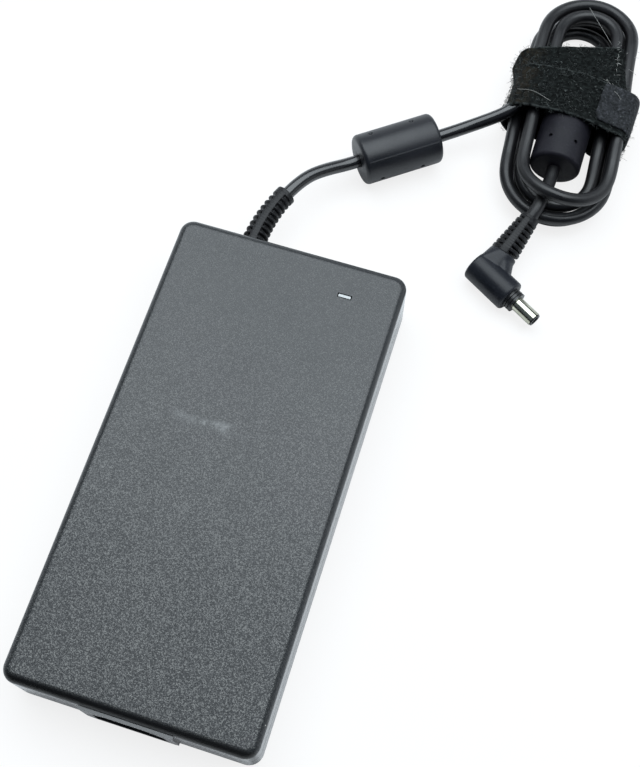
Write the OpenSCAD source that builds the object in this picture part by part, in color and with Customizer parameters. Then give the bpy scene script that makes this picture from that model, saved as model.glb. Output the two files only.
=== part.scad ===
// Laptop power adapter: a flat two-part moulded housing with a mains inlet at one end,
// and at the other an output cord with two suppressor beads, a hank in a hook-and-loop
// strap and a side-entry barrel plug. Lengths are in millimetres, +Z is up, +Y runs along
// the housing to the cord end, and the origin is under the middle of the housing.

/* [Housing] */
// Length of the housing
body_l = 172; // [166:1:180]
// Width of the housing
body_w = 85; // [82:1:90]
// Height of the housing
body_h = 27; // [26.5:0.5:29]
// Thickness of the shells
wall = 2.2; // [2:0.1:2.4]
// Radius of the housing's corners, seen from above
corner_r = 5; // [4:0.5:7]
// Radius of the rounded top edge
top_round = 3; // [2:0.25:3.5]
// Radius of the rounded bottom edge
bottom_round = 2; // [1:0.25:2.5]
// Height of the seam between the shells
seam_z = 13.5; // [13:0.25:14]

/* [Mains inlet] */
// Width of the inlet block
inlet_w = 31.5; // [31:0.5:33]
// Height of the inlet block
inlet_h = 20.5; // [20:0.25:21]
// How far the inlet block stands out of the wall
inlet_proud = 1; // [0.5:0.25:1.5]
// Width of the socket
socket_w = 24.4; // [24:0.1:24.8]
// Height of the socket
socket_h = 16.8; // [16.2:0.1:17]
// Depth of the socket
socket_depth = 17.5; // [16:0.5:18]

/* [Output cord] */
// Outer diameter of the cord
cord_d = 5; // [4.6:0.1:5]
// How far left of the middle the cord leaves the housing
exit_x = -18; // [-20:0.5:-16]
// Radius of the bend that the housing's strain relief is moulded to
relief_bend_r = 60; // [55:1:65]
// Angle of that bend
relief_bend = 24; // [20:1:26]

/* [Suppressor beads] */
// Outer diameter of a bead
bead_d = 19.5; // [19:0.1:19.6]
// Length of a bead
bead_l = 31.5; // [30.5:0.1:32]

/* [Hank] */
// Half length of the hank, to the middle of the cord
hank_half_l = 50.4; // [49:0.2:52]
// Half width of the hank, to the middle of the cord
hank_half_w = 20.9; // [20.5:0.1:21.5]
// Step from one loop to the next on a level
hank_step = 5.7; // [5.6:0.1:6]
// Height from one level of loops to the next
hank_pitch = 5.6; // [5.5:0.1:6]

/* [Strap] */
// Width of the hook-and-loop tape
strap_w = 20; // [18:0.5:22]
// Thickness of the tape
strap_t = 1.4; // [1:0.1:1.6]

/* [Barrel plug] */
// Outer diameter of the barrel
barrel_d = 5.5; // [5:0.1:6.3]
// Length of the barrel
barrel_l = 9.5; // [9:0.1:10]
// Diameter of the hole for the centre pin
barrel_bore_d = 2.5; // [2.1:0.1:2.5]
// Diameter of the plug's moulded body
plug_d = 12.2; // [11.6:0.1:12.6]
// Length of the plug's moulded body
plug_l = 18.7; // [18:0.1:19]

/* [Hidden] */
$fn = 48;
eps = 0.01;

shell_colour = "#3a3d40";
gloss_black = "#17181a";
cord_black = "#222325";
tape_black = "#1c1d1c";
board_green = "#2f6b45";
ferrite_grey = "#4a4a4c";
copper = "#b87333";
tin = "#c8ccd0";

near_y = -body_l / 2;
far_y = body_l / 2;
inner_top = body_h - wall;
seam_gap = 0.5;
seam_depth = 0.4;
tongue_out = 1.1;
tongue_h = 2;
rib_drop = 0.4;

// ---- Housing ------------------------------------------------------------------------

// Rounded rectangle in plan, drawn in from the housing's outline
module plan(inset) {
  w = body_w - 2 * inset;
  l = body_l - 2 * inset;
  r = max(corner_r - inset, 0.5);
  square([w - 2 * r, l], center = true);
  square([w, l - 2 * r], center = true);
  for (x = [-1, 1], y = [-1, 1])
    translate([x * (w / 2 - r), y * (l / 2 - r)]) circle(r);
}

// What a rounding takes off an upright section's top edge at that distance out
module edge_waste(out, h, r) {
  translate([out - r, h - r])
    difference() {
      square(r + 1);
      circle(r);
    }
}

// Solid with the housing's outline, flat below and with its upper edge rounded
module pillow(h, r) {
  c = corner_r;
  difference() {
    linear_extrude(h) plan(0);
    for (a = [0, 180])
      rotate([0, 0, a]) {
        rotate([90, 0, 0])
          linear_extrude(body_l - 2 * c, center = true) edge_waste(body_w / 2, h, r);
        rotate([90, 0, 90])
          linear_extrude(body_w - 2 * c, center = true) edge_waste(body_l / 2, h, r);
        translate([body_w / 2 - c, body_l / 2 - c, 0])
          rotate_extrude(angle = 90) edge_waste(c, h, r);
        translate([c - body_w / 2, body_l / 2 - c, 0])
          rotate([0, 0, 90]) rotate_extrude(angle = 90) edge_waste(c, h, r);
      }
  }
}

inlet_z = seam_z + 0.25;
relief_hole_r = 5;
led_pos = [22.4, far_y - 13.8];
led_w = 5.2;
led_l = 1.7;

// What both shells leave open: the inlet and the strain relief
module shell_openings() {
  translate([-inlet_w / 2, near_y - 1, inlet_z - inlet_h / 2])
    cube([inlet_w, wall + 2, inlet_h]);
  translate([exit_x, far_y + 1, seam_z])
    rotate([90, 0, 0]) cylinder(h = wall + 2, r = relief_hole_r);
}

module top_cover() {
  color(shell_colour)
    difference() {
      union() {
        translate([0, 0, seam_z + seam_gap])
          difference() {
            pillow(body_h - seam_z - seam_gap, top_round);
            translate([0, 0, -1])
              linear_extrude(inner_top - seam_z - seam_gap + 1) plan(wall);
          }
        // Ribs under the top that press on the shield
        for (y = [-40, 0, 40])
          translate([-30, y, inner_top - rib_drop]) cube([60, 1.2, rib_drop + 0.2]);
      }
      // Rebate that the lower shell's tongue enters
      translate([0, 0, seam_z])
        linear_extrude(tongue_h + seam_gap)
          difference() {
            plan(tongue_out);
            plan(wall + 0.3);
          }
      translate([led_pos.x - led_w / 2, led_pos.y - led_l / 2, inner_top - 1])
        cube([led_w, led_l, wall + 2]);
      shell_openings();
    }
}

board_z = 5;
board_t = 1.6;
board_top = board_z + board_t;
board_w = 76;
board_y0 = -62;
board_y1 = far_y - 6;
boss_y = [-52, far_y - 16];
boss_x = 33;

module bottom_cover() {
  color(shell_colour)
    difference() {
      union() {
        difference() {
          translate([0, 0, seam_z])
            mirror([0, 0, 1]) pillow(seam_z, bottom_round);
          translate([0, 0, wall])
            linear_extrude(seam_z) plan(wall);
        }
        // Shelf of the seam groove, and the tongue above it
        translate([0, 0, seam_z - eps])
          linear_extrude(seam_gap + eps)
            difference() {
              plan(seam_depth);
              plan(wall);
            }
        translate([0, 0, seam_z])
          linear_extrude(tongue_h)
            difference() {
              plan(tongue_out + 0.05);
              plan(wall);
            }
        // Bosses that carry the board
        for (x = [-boss_x, boss_x], y = boss_y)
          translate([x, y, wall - eps]) {
            cylinder(h = board_z - wall + eps, r = 3.2);
            cylinder(h = board_top - wall + 1, r = 1.4);
          }
        // Cradle under the inlet block
        for (x = [-11, 11])
          translate([x - 1, near_y + wall - eps, wall - eps])
            cube([2, 14, inlet_z - inlet_h / 2 - wall + eps]);
      }
      // Shallow bare field in the underside
      translate([-32, -48, -1]) cube([64, 96, 1.3]);
      shell_openings();
    }
}

// The status light's clear window, let into the top, and its stem down to the lamp
lamp_h = 1.2;
module led_light_pipe() {
  stem_z = board_top + lamp_h;
  color("#b9bdbb") {
    translate([led_pos.x - led_w / 2, led_pos.y - led_l / 2, stem_z])
      cube([led_w, led_l, body_h - stem_z]);
    translate([led_pos.x - led_w / 2 - 1, led_pos.y - led_l / 2 - 1, inner_top - 2.4])
      cube([led_w + 2, led_l + 2, 1]);
  }
}

module status_led() {
  color("white")
    translate([led_pos.x - 1.6, led_pos.y - 0.8, board_top]) cube([3.2, 1.6, lamp_h]);
}

// ---- Mains inlet --------------------------------------------------------------------

inlet_depth = 21;
inlet_front = near_y - inlet_proud;
pin_reach = 14.5;
pin_pitch = 14;
pin_x = 2;
pin_z = 4;
socket_corner = 5.4;
tab_l = 6;
// Places of the line, neutral and earth pins, across and up
pin_places = [
  [-pin_pitch / 2, inlet_z - 2], [pin_pitch / 2, inlet_z - 2], [0, inlet_z + 2]];

// Front outline of the inlet block, with bevelled lower corners
module inlet_outline(w, h, bevel) {
  polygon([
    [-w / 2 + bevel, -h / 2], [w / 2 - bevel, -h / 2], [w / 2, -h / 2 + bevel],
    [w / 2, h / 2], [-w / 2, h / 2], [-w / 2, -h / 2 + bevel]]);
}

// Socket outline: the two corners on the earth pin's side are cut off
module socket_outline() {
  w = socket_w / 2;
  h = socket_h / 2;
  polygon([
    [-w, -h], [w, -h], [w, h - socket_corner], [w - socket_corner, h],
    [socket_corner - w, h], [-w, h - socket_corner]]);
}

module inlet_housing() {
  color(gloss_black)
    difference() {
      union() {
        translate([0, inlet_front, inlet_z])
          rotate([-90, 0, 0]) mirror([0, 1, 0])
            linear_extrude(inlet_proud) inlet_outline(inlet_w, inlet_h, 1.5);
        translate([-inlet_w / 2, near_y, inlet_z - inlet_h / 2])
          cube([inlet_w, inlet_depth - inlet_proud, inlet_h]);
        // Flange behind the wall
        translate([-inlet_w / 2 - 1.5, near_y + wall, inlet_z - inlet_h / 2 + 1])
          cube([inlet_w + 3, 2, inlet_h - 2]);
      }
      translate([0, inlet_front - eps, inlet_z])
        rotate([-90, 0, 0]) mirror([0, 1, 0])
          linear_extrude(socket_depth + eps) socket_outline();
      for (p = pin_places)
        translate([p.x - pin_x / 2, inlet_front, p.y - pin_z / 2])
          cube([pin_x, inlet_depth + 1, pin_z]);
    }
}

// One flat contact pin with a bevelled tip, and its solder tab behind the block
module inlet_pin(place) {
  tip_y = inlet_front + socket_depth - pin_reach;
  root_y = inlet_front + inlet_depth;
  color(tin)
    translate([place.x, 0, place.y]) {
      rotate([90, 0, 90])
        linear_extrude(pin_x, center = true)
          polygon([
            [tip_y, -pin_z / 2 + 0.8], [tip_y + 1, -pin_z / 2], [root_y, -pin_z / 2],
            [root_y, pin_z / 2], [tip_y + 1, pin_z / 2], [tip_y, pin_z / 2 - 0.8]]);
      translate([-0.4, root_y - eps, -1.5]) cube([0.8, tab_l, 3]);
    }
}

module inlet_pin_line() {
  inlet_pin(pin_places[0]);
}

module inlet_pin_neutral() {
  inlet_pin(pin_places[1]);
}

module inlet_pin_earth() {
  inlet_pin(pin_places[2]);
}

// Wire that leaves along +Y and bends down by that drop
wire_r = 0.9;
module wire_down(r, drop) {
  bend = 3;
  rotate([-90, 0, 0]) cylinder(h = 1, r = r);
  translate([0, 1, -bend]) rotate([90, 0, 90])
    rotate_extrude(angle = 90) translate([bend, 0]) circle(r);
  translate([0, 1 + bend, -drop]) cylinder(h = drop - bend, r = r);
}

// Wires from the tabs, each bent down to its hole in the board
module inlet_wires() {
  for (i = [0:2])
    color(["#7a4a2a", "#2c4f9e", "#7c8f2f"][i])
      translate([pin_places[i].x, inlet_front + inlet_depth + tab_l, pin_places[i].y]) {
        wire_down(wire_r, pin_places[i].y - board_top);
      }
}

// ---- Board and what stands on it ----------------------------------------------------

module main_board() {
  color(board_green)
    difference() {
      translate([-board_w / 2, board_y0, board_z])
        cube([board_w, board_y1 - board_y0, board_t]);
      for (x = [-boss_x, boss_x], y = boss_y)
        translate([x, y, board_z - 1]) cylinder(h = board_t + 2, r = 1.5);
      // Isolation slots between the mains side and the output side
      translate([2, 49, board_z - 1]) cube([28, 1.5, board_t + 2]);
      translate([-30, 53.3, board_z - 1]) cube([20, 1.5, board_t + 2]);
    }
}

module on_board(x, y) {
  translate([x, y, board_top]) children();
}

module mains_fuse() {
  r = 2.6;
  cap_r = 2.9;
  on_board(-24, -40) translate([0, 0, cap_r]) rotate([90, 0, 0]) {
    color("#e5e1d2") cylinder(h = 20, r = r, center = true);
    for (z = [-8, 8])
      color(tin) translate([0, 0, z]) cylinder(h = 4, r = cap_r, center = true);
  }
}

module x_capacitor() {
  color("#c9a227")
    on_board(-6, -45) {
      translate([-9, -4.25, 0.6]) cube([18, 8.5, 14]);
      for (x = [-7.5, 7.5]) translate([x, 0, 0]) cylinder(h = 1, r = 0.8);
    }
}

module y_capacitors() {
  for (y = [-56, -49])
    color("#3d6fa8")
      on_board(14, y) {
        translate([0, 0, 6]) rotate([90, 0, 0]) cylinder(h = 3.4, r = 4.5, center = true);
        for (x = [-3, 3]) translate([x, 0, 0]) cylinder(h = 3.5, r = 0.7);
      }
}

// Ring core on its base, with the fin that keeps the two windings apart
choke_r = 9.5;
choke_hole = 5;
choke_at = [25, -32];
module common_mode_choke_core() {
  color(ferrite_grey)
    on_board(choke_at.x, choke_at.y) {
      translate([0, 0, 3])
        difference() {
          cylinder(h = 8, r = choke_r);
          translate([0, 0, -1]) cylinder(h = 10, r = choke_hole);
        }
      translate([-0.7, -choke_r, 0]) cube([1.4, 2 * choke_r, 13]);
      cylinder(h = 1.2, r = choke_r + 1.8);
    }
}

module common_mode_choke_windings() {
  color(copper)
    on_board(choke_at.x, choke_at.y)
      for (a = [-60, 120])
        rotate([0, 0, a])
          translate([0, 0, 1.2])
            rotate_extrude(angle = 120)
              difference() {
                translate([choke_hole - 1.6, 0]) square([choke_r - choke_hole + 3.2, 11.6]);
                translate([choke_hole, 1.8]) square([choke_r - choke_hole, 8]);
              }
}

module bridge_rectifier() {
  color("#202124")
    on_board(-28, -19) {
      translate([-1.8, -9, 1.5]) cube([3.6, 18, 14]);
      for (y = [-6, -2, 2, 6]) translate([-0.5, y - 0.5, 0]) cube([1, 1, 2]);
    }
}

// Core of a square choke or transformer: two plates, two side walls and a middle post
core_plate = 3;
module square_core(w, l, h, post_r, window_r) {
  difference() {
    translate([-w / 2, -l / 2, 0]) cube([w, l, h]);
    translate([0, 0, core_plate]) cylinder(h = h - 2 * core_plate, r = window_r);
  }
  cylinder(h = h, r = post_r);
}

// Round winding with its two bobbin flanges, filling such a core's window
module bobbin(h, post_r, window_r) {
  room = h - 2 * core_plate;
  translate([0, 0, core_plate])
    difference() {
      union() {
        cylinder(h = room, r = window_r - 1.2);
        cylinder(h = 1, r = window_r - 0.1);
        translate([0, 0, room - 1]) cylinder(h = 1, r = window_r - 0.1);
      }
      translate([0, 0, -1]) cylinder(h = room + 2, r = post_r);
    }
}

pfc_at = [20, -3];
pfc_h = 16.5;
module pfc_choke_core() {
  color(ferrite_grey)
    on_board(pfc_at.x, pfc_at.y) square_core(19, 27, pfc_h, 5, 11.5);
}

module pfc_choke_winding() {
  color(copper)
    on_board(pfc_at.x, pfc_at.y) bobbin(pfc_h, 5, 11.5);
}

// Two large capacitors lying side by side, with their crimped groove
bulk_r = 7.8;
bulk_l = 34;
module bulk_capacitors() {
  for (x = [-22, -5.5])
    color("#22304a")
      on_board(x, 8) translate([0, bulk_l / 2, bulk_r]) rotate([90, 0, 0])
        difference() {
          cylinder(h = bulk_l, r = bulk_r);
          translate([0, 0, 2.5])
            rotate_extrude() translate([bulk_r + 0.3, 0]) circle(0.8, $fn = 24);
        }
}

// Heat sinks: upright plates with a lip along the top
sink_z = 15;
sink_t = 2;
sink_lip = 5;
module primary_heat_sink() {
  color("#b4b7ba")
    on_board(-36, -6) {
      translate([-sink_t / 2, -22, 0]) cube([sink_t, 62, sink_z]);
      translate([-sink_t / 2, -22, sink_z - sink_t]) cube([sink_lip, 62, sink_t]);
    }
}

// Moulded power package standing against a heat sink
module power_package(side) {
  translate([side * 2.25 - 2.25, -5, 2.5]) cube([4.5, 10, 9]);
  for (y = [-2.54, 0, 2.54])
    translate([side * 2.25 - 0.4, y - 0.4, 0]) cube([0.8, 0.8, 2.6]);
}

module primary_transistors() {
  for (y = [-4, 32])
    color("#1d1d1f") on_board(-35, y) power_package(1);
}

transformer_at = [16, 32];
transformer_h = 16.5;
module transformer_core() {
  color(ferrite_grey)
    on_board(transformer_at.x, transformer_at.y)
      square_core(24, 33, transformer_h, 6, 14);
}

module transformer_winding() {
  color("#d7b13c")
    on_board(transformer_at.x, transformer_at.y) bobbin(transformer_h, 6, 14);
}

module secondary_heat_sink() {
  color("#b4b7ba")
    on_board(36, 32) {
      translate([-sink_t / 2, -18, 0]) cube([sink_t, 46, sink_z]);
      translate([sink_t / 2 - sink_lip, -18, sink_z - sink_t])
        cube([sink_lip, 46, sink_t]);
    }
}

module output_rectifiers() {
  color("#1d1d1f") on_board(35, 53) power_package(-1);
}

module output_capacitors() {
  for (x = [-8, 2, 12])
    color("#274f38")
      on_board(x, 60)
        difference() {
          cylinder(h = 15, r = 4);
          translate([0, 0, 2]) rotate_extrude() translate([4.2, 0]) circle(0.5, $fn = 24);
        }
}

module control_board() {
  color("#25593a")
    on_board(-14, 38) translate([-12, -0.5, 0]) cube([24, 1, 13]);
  color("#1d1d1f")
    on_board(-14, 38) translate([-4, 0.5, 4]) cube([8, 1.5, 5]);
}

module optocouplers() {
  for (x = [-24, -15])
    color("#1d1d1f")
      on_board(x, 54) {
        translate([-2.3, -3.2, 0.5]) cube([4.6, 6.4, 3.2]);
        for (y = [-3.6, 2.8], lead_x = [-1.5, 1])
          translate([lead_x, y, 0]) cube([0.5, 0.8, 1.4]);
      }
}

// ---- Sheets inside the shells -------------------------------------------------------

module sheet_outline(grow) {
  difference() {
    translate([-board_w / 2 - grow, board_y0])
      square([board_w + 2 * grow, board_y1 - board_y0]);
    for (x = [-boss_x, boss_x], y = boss_y)
      translate([x, y]) circle(3.8);
  }
}

module insulating_sheet() {
  color("#e8e4d4")
    translate([0, 0, wall + 0.5]) linear_extrude(0.4) sheet_outline(0);
}

module lower_shield() {
  color(tin)
    translate([0, 0, wall]) linear_extrude(0.5) sheet_outline(0);
}

shield_t = 0.5;
shield_z = inner_top - rib_drop - shield_t;
module upper_shield() {
  color(tin)
    difference() {
      union() {
        translate([-board_w / 2, board_y0, shield_z])
          cube([board_w, board_y1 - board_y0, shield_t]);
        for (x = [-board_w / 2, board_w / 2 - shield_t])
          translate([x, board_y0 + 30, shield_z - 1.4]) cube([shield_t, 90, 1.6]);
      }
      translate([led_pos.x - led_w / 2 - 1.5, led_pos.y - led_l / 2 - 1.5, shield_z - 3])
        cube([led_w + 3, led_l + 3, 6]);
    }
}

module thermal_pads() {
  color("#9aa7b5") {
    for (under = [[pfc_at, pfc_h], [transformer_at, transformer_h]])
      translate([under[0].x - 8, under[0].y - 9, board_top + under[1]])
        cube([16, 18, shield_z - board_top - under[1]]);
  }
}

// ---- Output cord at the housing -----------------------------------------------------

cord_r = cord_d / 2;
base_l = 2.5;
tip_l = 2;
relief_r0 = 4.8;
relief_r1 = 4.05;
relief_core_r = 3.3;
relief_flange_r = 7;
relief_flange_t = 2.5;
spine_w = 2.8;
cord_inside = 6;
// The bend is moulded as straight sections, and each holds that many ribs, which stand
// on its right and left side by turns
bend_parts = 3;
ribs_in = [0, 7, 7, 5];
ribs_before = [0, 0, 7, 14, 19];
part_turn = relief_bend / bend_parts;
part_l = 2 * relief_bend_r * sin(part_turn / 2);

// Heading and length of each section: the base, the parts of the bend, and the tip
headings = [0, for (i = [0:bend_parts - 1]) (i + 0.5) * part_turn, relief_bend];
lengths = [
  base_l + cord_inside, for (i = [1:bend_parts]) part_l - (i == bend_parts ? tip_l : 0), tip_l];
tip_part = bend_parts + 1;

function bearing(turn) = [sin(turn), cos(turn), 0];
function joint(i) = i == 0
  ? [exit_x, far_y - cord_inside, seam_z]
  : joint(i - 1) + lengths[i - 1] * bearing(headings[i - 1]);

// Places its children on a section: +Z along the cord, +X to its right
module on_part(i) {
  translate(joint(i)) rotate([0, 0, -headings[i]]) rotate([-90, 0, 0]) children();
}

// Keeps what lies between a section's two mitred joints
module mitre(i) {
  difference() {
    children();
    if (i > 0)
      translate(joint(i)) rotate([0, 0, -(headings[i - 1] + headings[i]) / 2])
        translate([-10, -5, -10]) cube([20, 5, 20]);
    if (i < tip_part)
      translate(joint(i + 1)) rotate([0, 0, -(headings[i] + headings[i + 1]) / 2])
        translate([-10, 0, -10]) cube([20, 5, 20]);
  }
}

// Round bar along the sections from the first to the tip, and that far past it. Every
// other section is a hair thinner, so that neighbours meet in a clean step.
section_step = 0.02;
module bar(r, first, past = 0) {
  for (i = [first:tip_part])
    mitre(i) on_part(i) translate([0, 0, i == 0 ? 0 : -1])
      cylinder(
        h = lengths[i] + (i == 0 ? 0 : 1) + (i == tip_part ? past : 1),
        r = r - section_step * (i % 2));
}

module half_disc(r, side) {
  intersection() {
    circle(r);
    translate([side > 0 ? 0 : -2 * r, -r]) square(2 * r);
  }
}

// Moulded relief: a sleeve with a spine above and below, and ribs on its two sides that
// stand half a step apart
module cord_strain_relief() {
  color(cord_black)
    difference() {
      union() {
        mitre(0) on_part(0) translate([0, 0, cord_inside - wall - 0.5])
          cylinder(h = base_l + wall + 1.5, r = relief_hole_r);
        on_part(0) translate([0, 0, cord_inside - wall - relief_flange_t])
          cylinder(h = relief_flange_t, r = relief_flange_r);
        bar(relief_core_r, 1);
        mitre(tip_part) on_part(tip_part) translate([0, 0, -1])
          cylinder(h = tip_l + 1, r = relief_r1);
        for (i = [1:bend_parts])
          mitre(i) on_part(i) {
            top = relief_r0 + (relief_r1 - relief_r0) * (i - 1) / bend_parts + 0.05;
            translate([0, 0, -1])
              linear_extrude(part_l + 2)
                intersection() {
                  circle(top);
                  square([spine_w, 4 * top], center = true);
                }
            rib = lengths[i] / ribs_in[i];
            for (k = [0:ribs_in[i] - 1]) {
              n = ribs_before[i] + k;
              r = relief_r0 + (relief_r1 - relief_r0) * n / ribs_before[tip_part];
              // The first and last rib of a section reach its joints
              from = k == 0 ? -1 : k * rib;
              to = (k + 1) * rib + (k == ribs_in[i] - 1 ? 1 : 0);
              translate([0, 0, from])
                linear_extrude(to - from) half_disc(r, n % 2 ? -1 : 1);
            }
          }
      }
      bar(cord_r, 0, past = 1);
    }
}

module cord_entry() {
  color(cord_black) bar(cord_r, 0);
}

// Two cores that run from the cord's cut end down to the board
module output_wires() {
  for (x = [-1.2, 1.2])
    color(x < 0 ? "#222222" : "#a02a24")
      translate(joint(0) + [x, 0, 0])
        mirror([0, 1, 0]) wire_down(1, seam_z - board_top);
}

// ---- Tubes swept along points -------------------------------------------------------

function unit(v) = v / norm(v);
function heading(pts, i) =
  let(a = max(i - 1, 0), b = min(i + 1, len(pts) - 1)) unit(pts[b] - pts[a]);
function side_of(dir) = unit(cross(dir, [0, 0, 1]));

// Points of one ring of the tube
function ring(pts, i, r, sides) =
  let(dir = heading(pts, i), side = side_of(dir), up = cross(side, dir))
    [for (k = [0:sides - 1])
      let(a = 360 * k / sides) pts[i] + r * (cos(a) * side + sin(a) * up)];

// One closed tube through all the points
module tube(pts, r, sides) {
  n = len(pts);
  skin = [for (i = [0:n - 1]) each ring(pts, i, r, sides)];
  walls = [for (i = [0:n - 2], k = [0:sides - 1])
    let(a = i * sides + k, b = i * sides + (k + 1) % sides)
      each [[a, b, b + sides], [a, b + sides, a + sides]]];
  first = [for (k = [1:sides - 2]) [0, k + 1, k]];
  end = (n - 1) * sides;
  last = [for (k = [1:sides - 2]) [end, end + k, end + k + 1]];
  polyhedron(points = skin, faces = concat(first, walls, last));
}

// ---- Hank ---------------------------------------------------------------------------

// Runs from the outside of the top level inwards, then out and in again on the levels
// below. Time is counted in turns: 0 is the middle of the left run.
hank_start = 1.02;
hank_end = 5.431;
hank_rings = 24;
hank_at = [82, far_y + 98.8];
hank_turned = 3;
levels = 3;
first_drop = 2.5;
second_drop = 4;
lean = 0.6;
end_draw = 2.2;
strap_lift = 2.2;
strap_mid = 6;
crossing_rise = 6.4;
crossing_at = [-46, -2.5];
crossing_spread = 17;

function smooth(x) = let(c = min(max(x, 0), 1)) c * c * (3 - 2 * c);
function turns_in(t) = let(k = (t + 0.5) % 3) 1.5 - min(k, 3 - k);
function level(t) =
  levels - 1 - smooth((t - first_drop) * 6 + 0.5) - smooth((t - second_drop) * 6 + 0.5);

// Place in the hank's own frame: along it, across it and up
function hank_local(t) =
  let(
    phase = (t + 1 / 12) % 1 - 1 / 12,
    run = phase < 1 / 12 ? phase * 12
      : phase < 5 / 12 ? 1
      : phase < 7 / 12 ? (0.5 - phase) * 12
      : -1,
    turn = phase < 1 / 12 ? 0
      : phase < 5 / 12 ? (phase - 1 / 12) * 540
      : phase < 7 / 12 ? 180
      : 180 + (phase - 7 / 12) * 540,
    draw = end_draw * smooth((run + 0.4) / 1.4),
    half = hank_half_w - hank_step * turns_in(t) - draw,
    over = level(t) - 1,
    u = run * (hank_half_l - hank_half_w) + sin(turn) * half + draw,
    v = -cos(turn) * half + lean * over * (1 + pow(u / hank_half_l, 2)),
    away = norm([u, v] - crossing_at) / crossing_spread,
    z = cord_r + hank_pitch * level(t) + strap_lift * smooth(1.8 - abs(u - strap_mid) / 24)
      + crossing_rise * exp(-away * away) * smooth(over))
  [u, v, z];

function from_hank(p) =
  [hank_at.x + p.y * cos(hank_turned) - p.x * sin(hank_turned),
   hank_at.y + p.y * sin(hank_turned) + p.x * cos(hank_turned), p.z];

hank_times = concat(
  [hank_start],
  [for (k = [ceil(hank_start * hank_rings):floor(hank_end * hank_rings)]) k / hank_rings],
  [hank_end]);
hank_points = [for (t = hank_times) from_hank(hank_local(t))];

// Least gap of the hank's cord to itself, measured on points four to a ring
fine = [for (i = [0:len(hank_points) - 2], k = [0:3])
  hank_points[i] + (hank_points[i + 1] - hank_points[i]) * k / 4];
apart = 4 * hank_rings / 3;
least_gap = min([for (i = [0:len(fine) - 1 - apart])
  min([for (j = [i + apart:len(fine) - 1]) norm(fine[i] - fine[j])])]) - cord_d;
function path_length(pts) =
  let(steps = [for (i = [0:len(pts) - 2]) norm(pts[i + 1] - pts[i])])
    steps * [for (s = steps) 1];

module dc_cord_hank() {
  color(cord_black) tube(hank_points, cord_r, 6);
}

// ---- Free stretches of the cord -----------------------------------------------------

bead_turn = 37;
bead_1_at = [21.2, far_y + 61.2, 9.8];
bead_1_along = [cos(bead_turn), sin(bead_turn), 0];
// The second bead lies in the hank, and its axis is given by its two ends
bead_2_top = [81.5, far_y + 100.5, 12.3];
bead_2_low = [81, far_y + 69, 12.3];

relief_tip = joint(tip_part + 1);
relief_tip_dir = bearing(relief_bend);

// Points that lie that far past the far wall, chosen by eye
function past_wall(p) = [p.x, far_y + p.y, p.z];

lead_points = concat(
  [relief_tip, relief_tip + cord_d * relief_tip_dir],
  [for (p = [[-6.8, 37.8, 13], [-1.6, 43.3, 11.6]]) past_wall(p)],
  [bead_1_at - (bead_l / 2 + cord_d) * bead_1_along,
   bead_1_at - bead_l / 2 * bead_1_along,
   bead_1_at,
   bead_1_at + bead_l / 2 * bead_1_along,
   bead_1_at + (bead_l / 2 + cord_d) * bead_1_along],
  [for (p = [[45.4, 79.2, 10.6], [51, 82.8, 12], [55.4, 85.6, 13.4], [59, 88.6, 14.8],
             [61.4, 92.8, 15.6], [62.5, 97.6, 15.9], [62.6, 101, 15.9]]) past_wall(p)],
  [hank_points[0]]);

plug_relief_thin = past_wall([77.6, 45.8, 12.2]);
plug_relief_thick = past_wall([71, 28.4, 6.6]);
plug_relief_l = norm(plug_relief_thin - plug_relief_thick);

tail_points = concat(
  [hank_points[len(hank_points) - 1]],
  [for (p = [[90.8, 121.4, 4.9], [90.2, 117.2, 5.8], [88, 112.9, 7.7], [85, 109.2, 9.7],
             [82.6, 105.6, 11.4], [81.6, 103, 12.2]]) past_wall(p)],
  [bead_2_top, (bead_2_top + bead_2_low) / 2, bead_2_low],
  [for (p = [[80.9, 64.6, 12.3], [80.5, 59.6, 13.2], [79.9, 54.4, 14]]) past_wall(p)],
  [plug_relief_thin + cord_d * unit(plug_relief_thin - plug_relief_thick),
   plug_relief_thin]);

module dc_cord_lead() {
  color(cord_black) tube(lead_points, cord_r, 8);
}

module dc_cord_tail() {
  color(cord_black) tube(tail_points, cord_r, 8);
}

// ---- Suppressor beads ---------------------------------------------------------------

// Stands its children's Z axis along the line from one point to the other
module between(from, to) {
  d = to - from;
  translate(from)
    rotate([0, acos(d.z / norm(d)), atan2(d.y, d.x)]) children();
}

core_r = 8;
core_l = 28;
core_bore_r = 3.4;

module ferrite_core(from, to) {
  color(ferrite_grey)
    between(from, to) translate([0, 0, (bead_l - core_l) / 2])
      difference() {
        cylinder(h = core_l, r = core_r);
        translate([0, 0, -1]) cylinder(h = core_l + 2, r = core_bore_r);
      }
}

// Moulding round the core: rounded ends, a parting line on each side, and the dimples
// that the mould's core pins leave
module bead_overmould(from, to) {
  r = bead_d / 2;
  edge = 1.6;
  color("#2b2d30")
    between(from, to)
      difference() {
        rotate_extrude() {
          translate([0, edge]) square([r, bead_l - 2 * edge]);
          square([r - edge, bead_l]);
          for (z = [edge, bead_l - edge]) translate([r - edge, z]) circle(edge);
        }
        translate([0, 0, -1]) cylinder(h = bead_l + 2, r = cord_r);
        translate([0, 0, (bead_l - core_l) / 2])
          difference() {
            cylinder(h = core_l, r = core_r);
            translate([0, 0, -1]) cylinder(h = core_l + 2, r = core_bore_r);
          }
        for (y = [-1, 1])
          translate([-0.15, y * r - 0.25, edge]) cube([0.3, 0.5, bead_l - 2 * edge]);
        for (z = [bead_l * 0.27, bead_l * 0.73], a = [150, 210])
          translate([0, 0, z]) rotate([0, 0, a]) translate([r - 1, 0, 0])
            rotate([0, 90, 0]) cylinder(h = 2, r = 0.8, $fn = 24);
      }
}

bead_1_ends = [
  bead_1_at - bead_l / 2 * bead_1_along, bead_1_at + bead_l / 2 * bead_1_along];
bead_2_ends = [
  bead_2_top,
  bead_2_top + bead_l * unit(bead_2_low - bead_2_top)];

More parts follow.
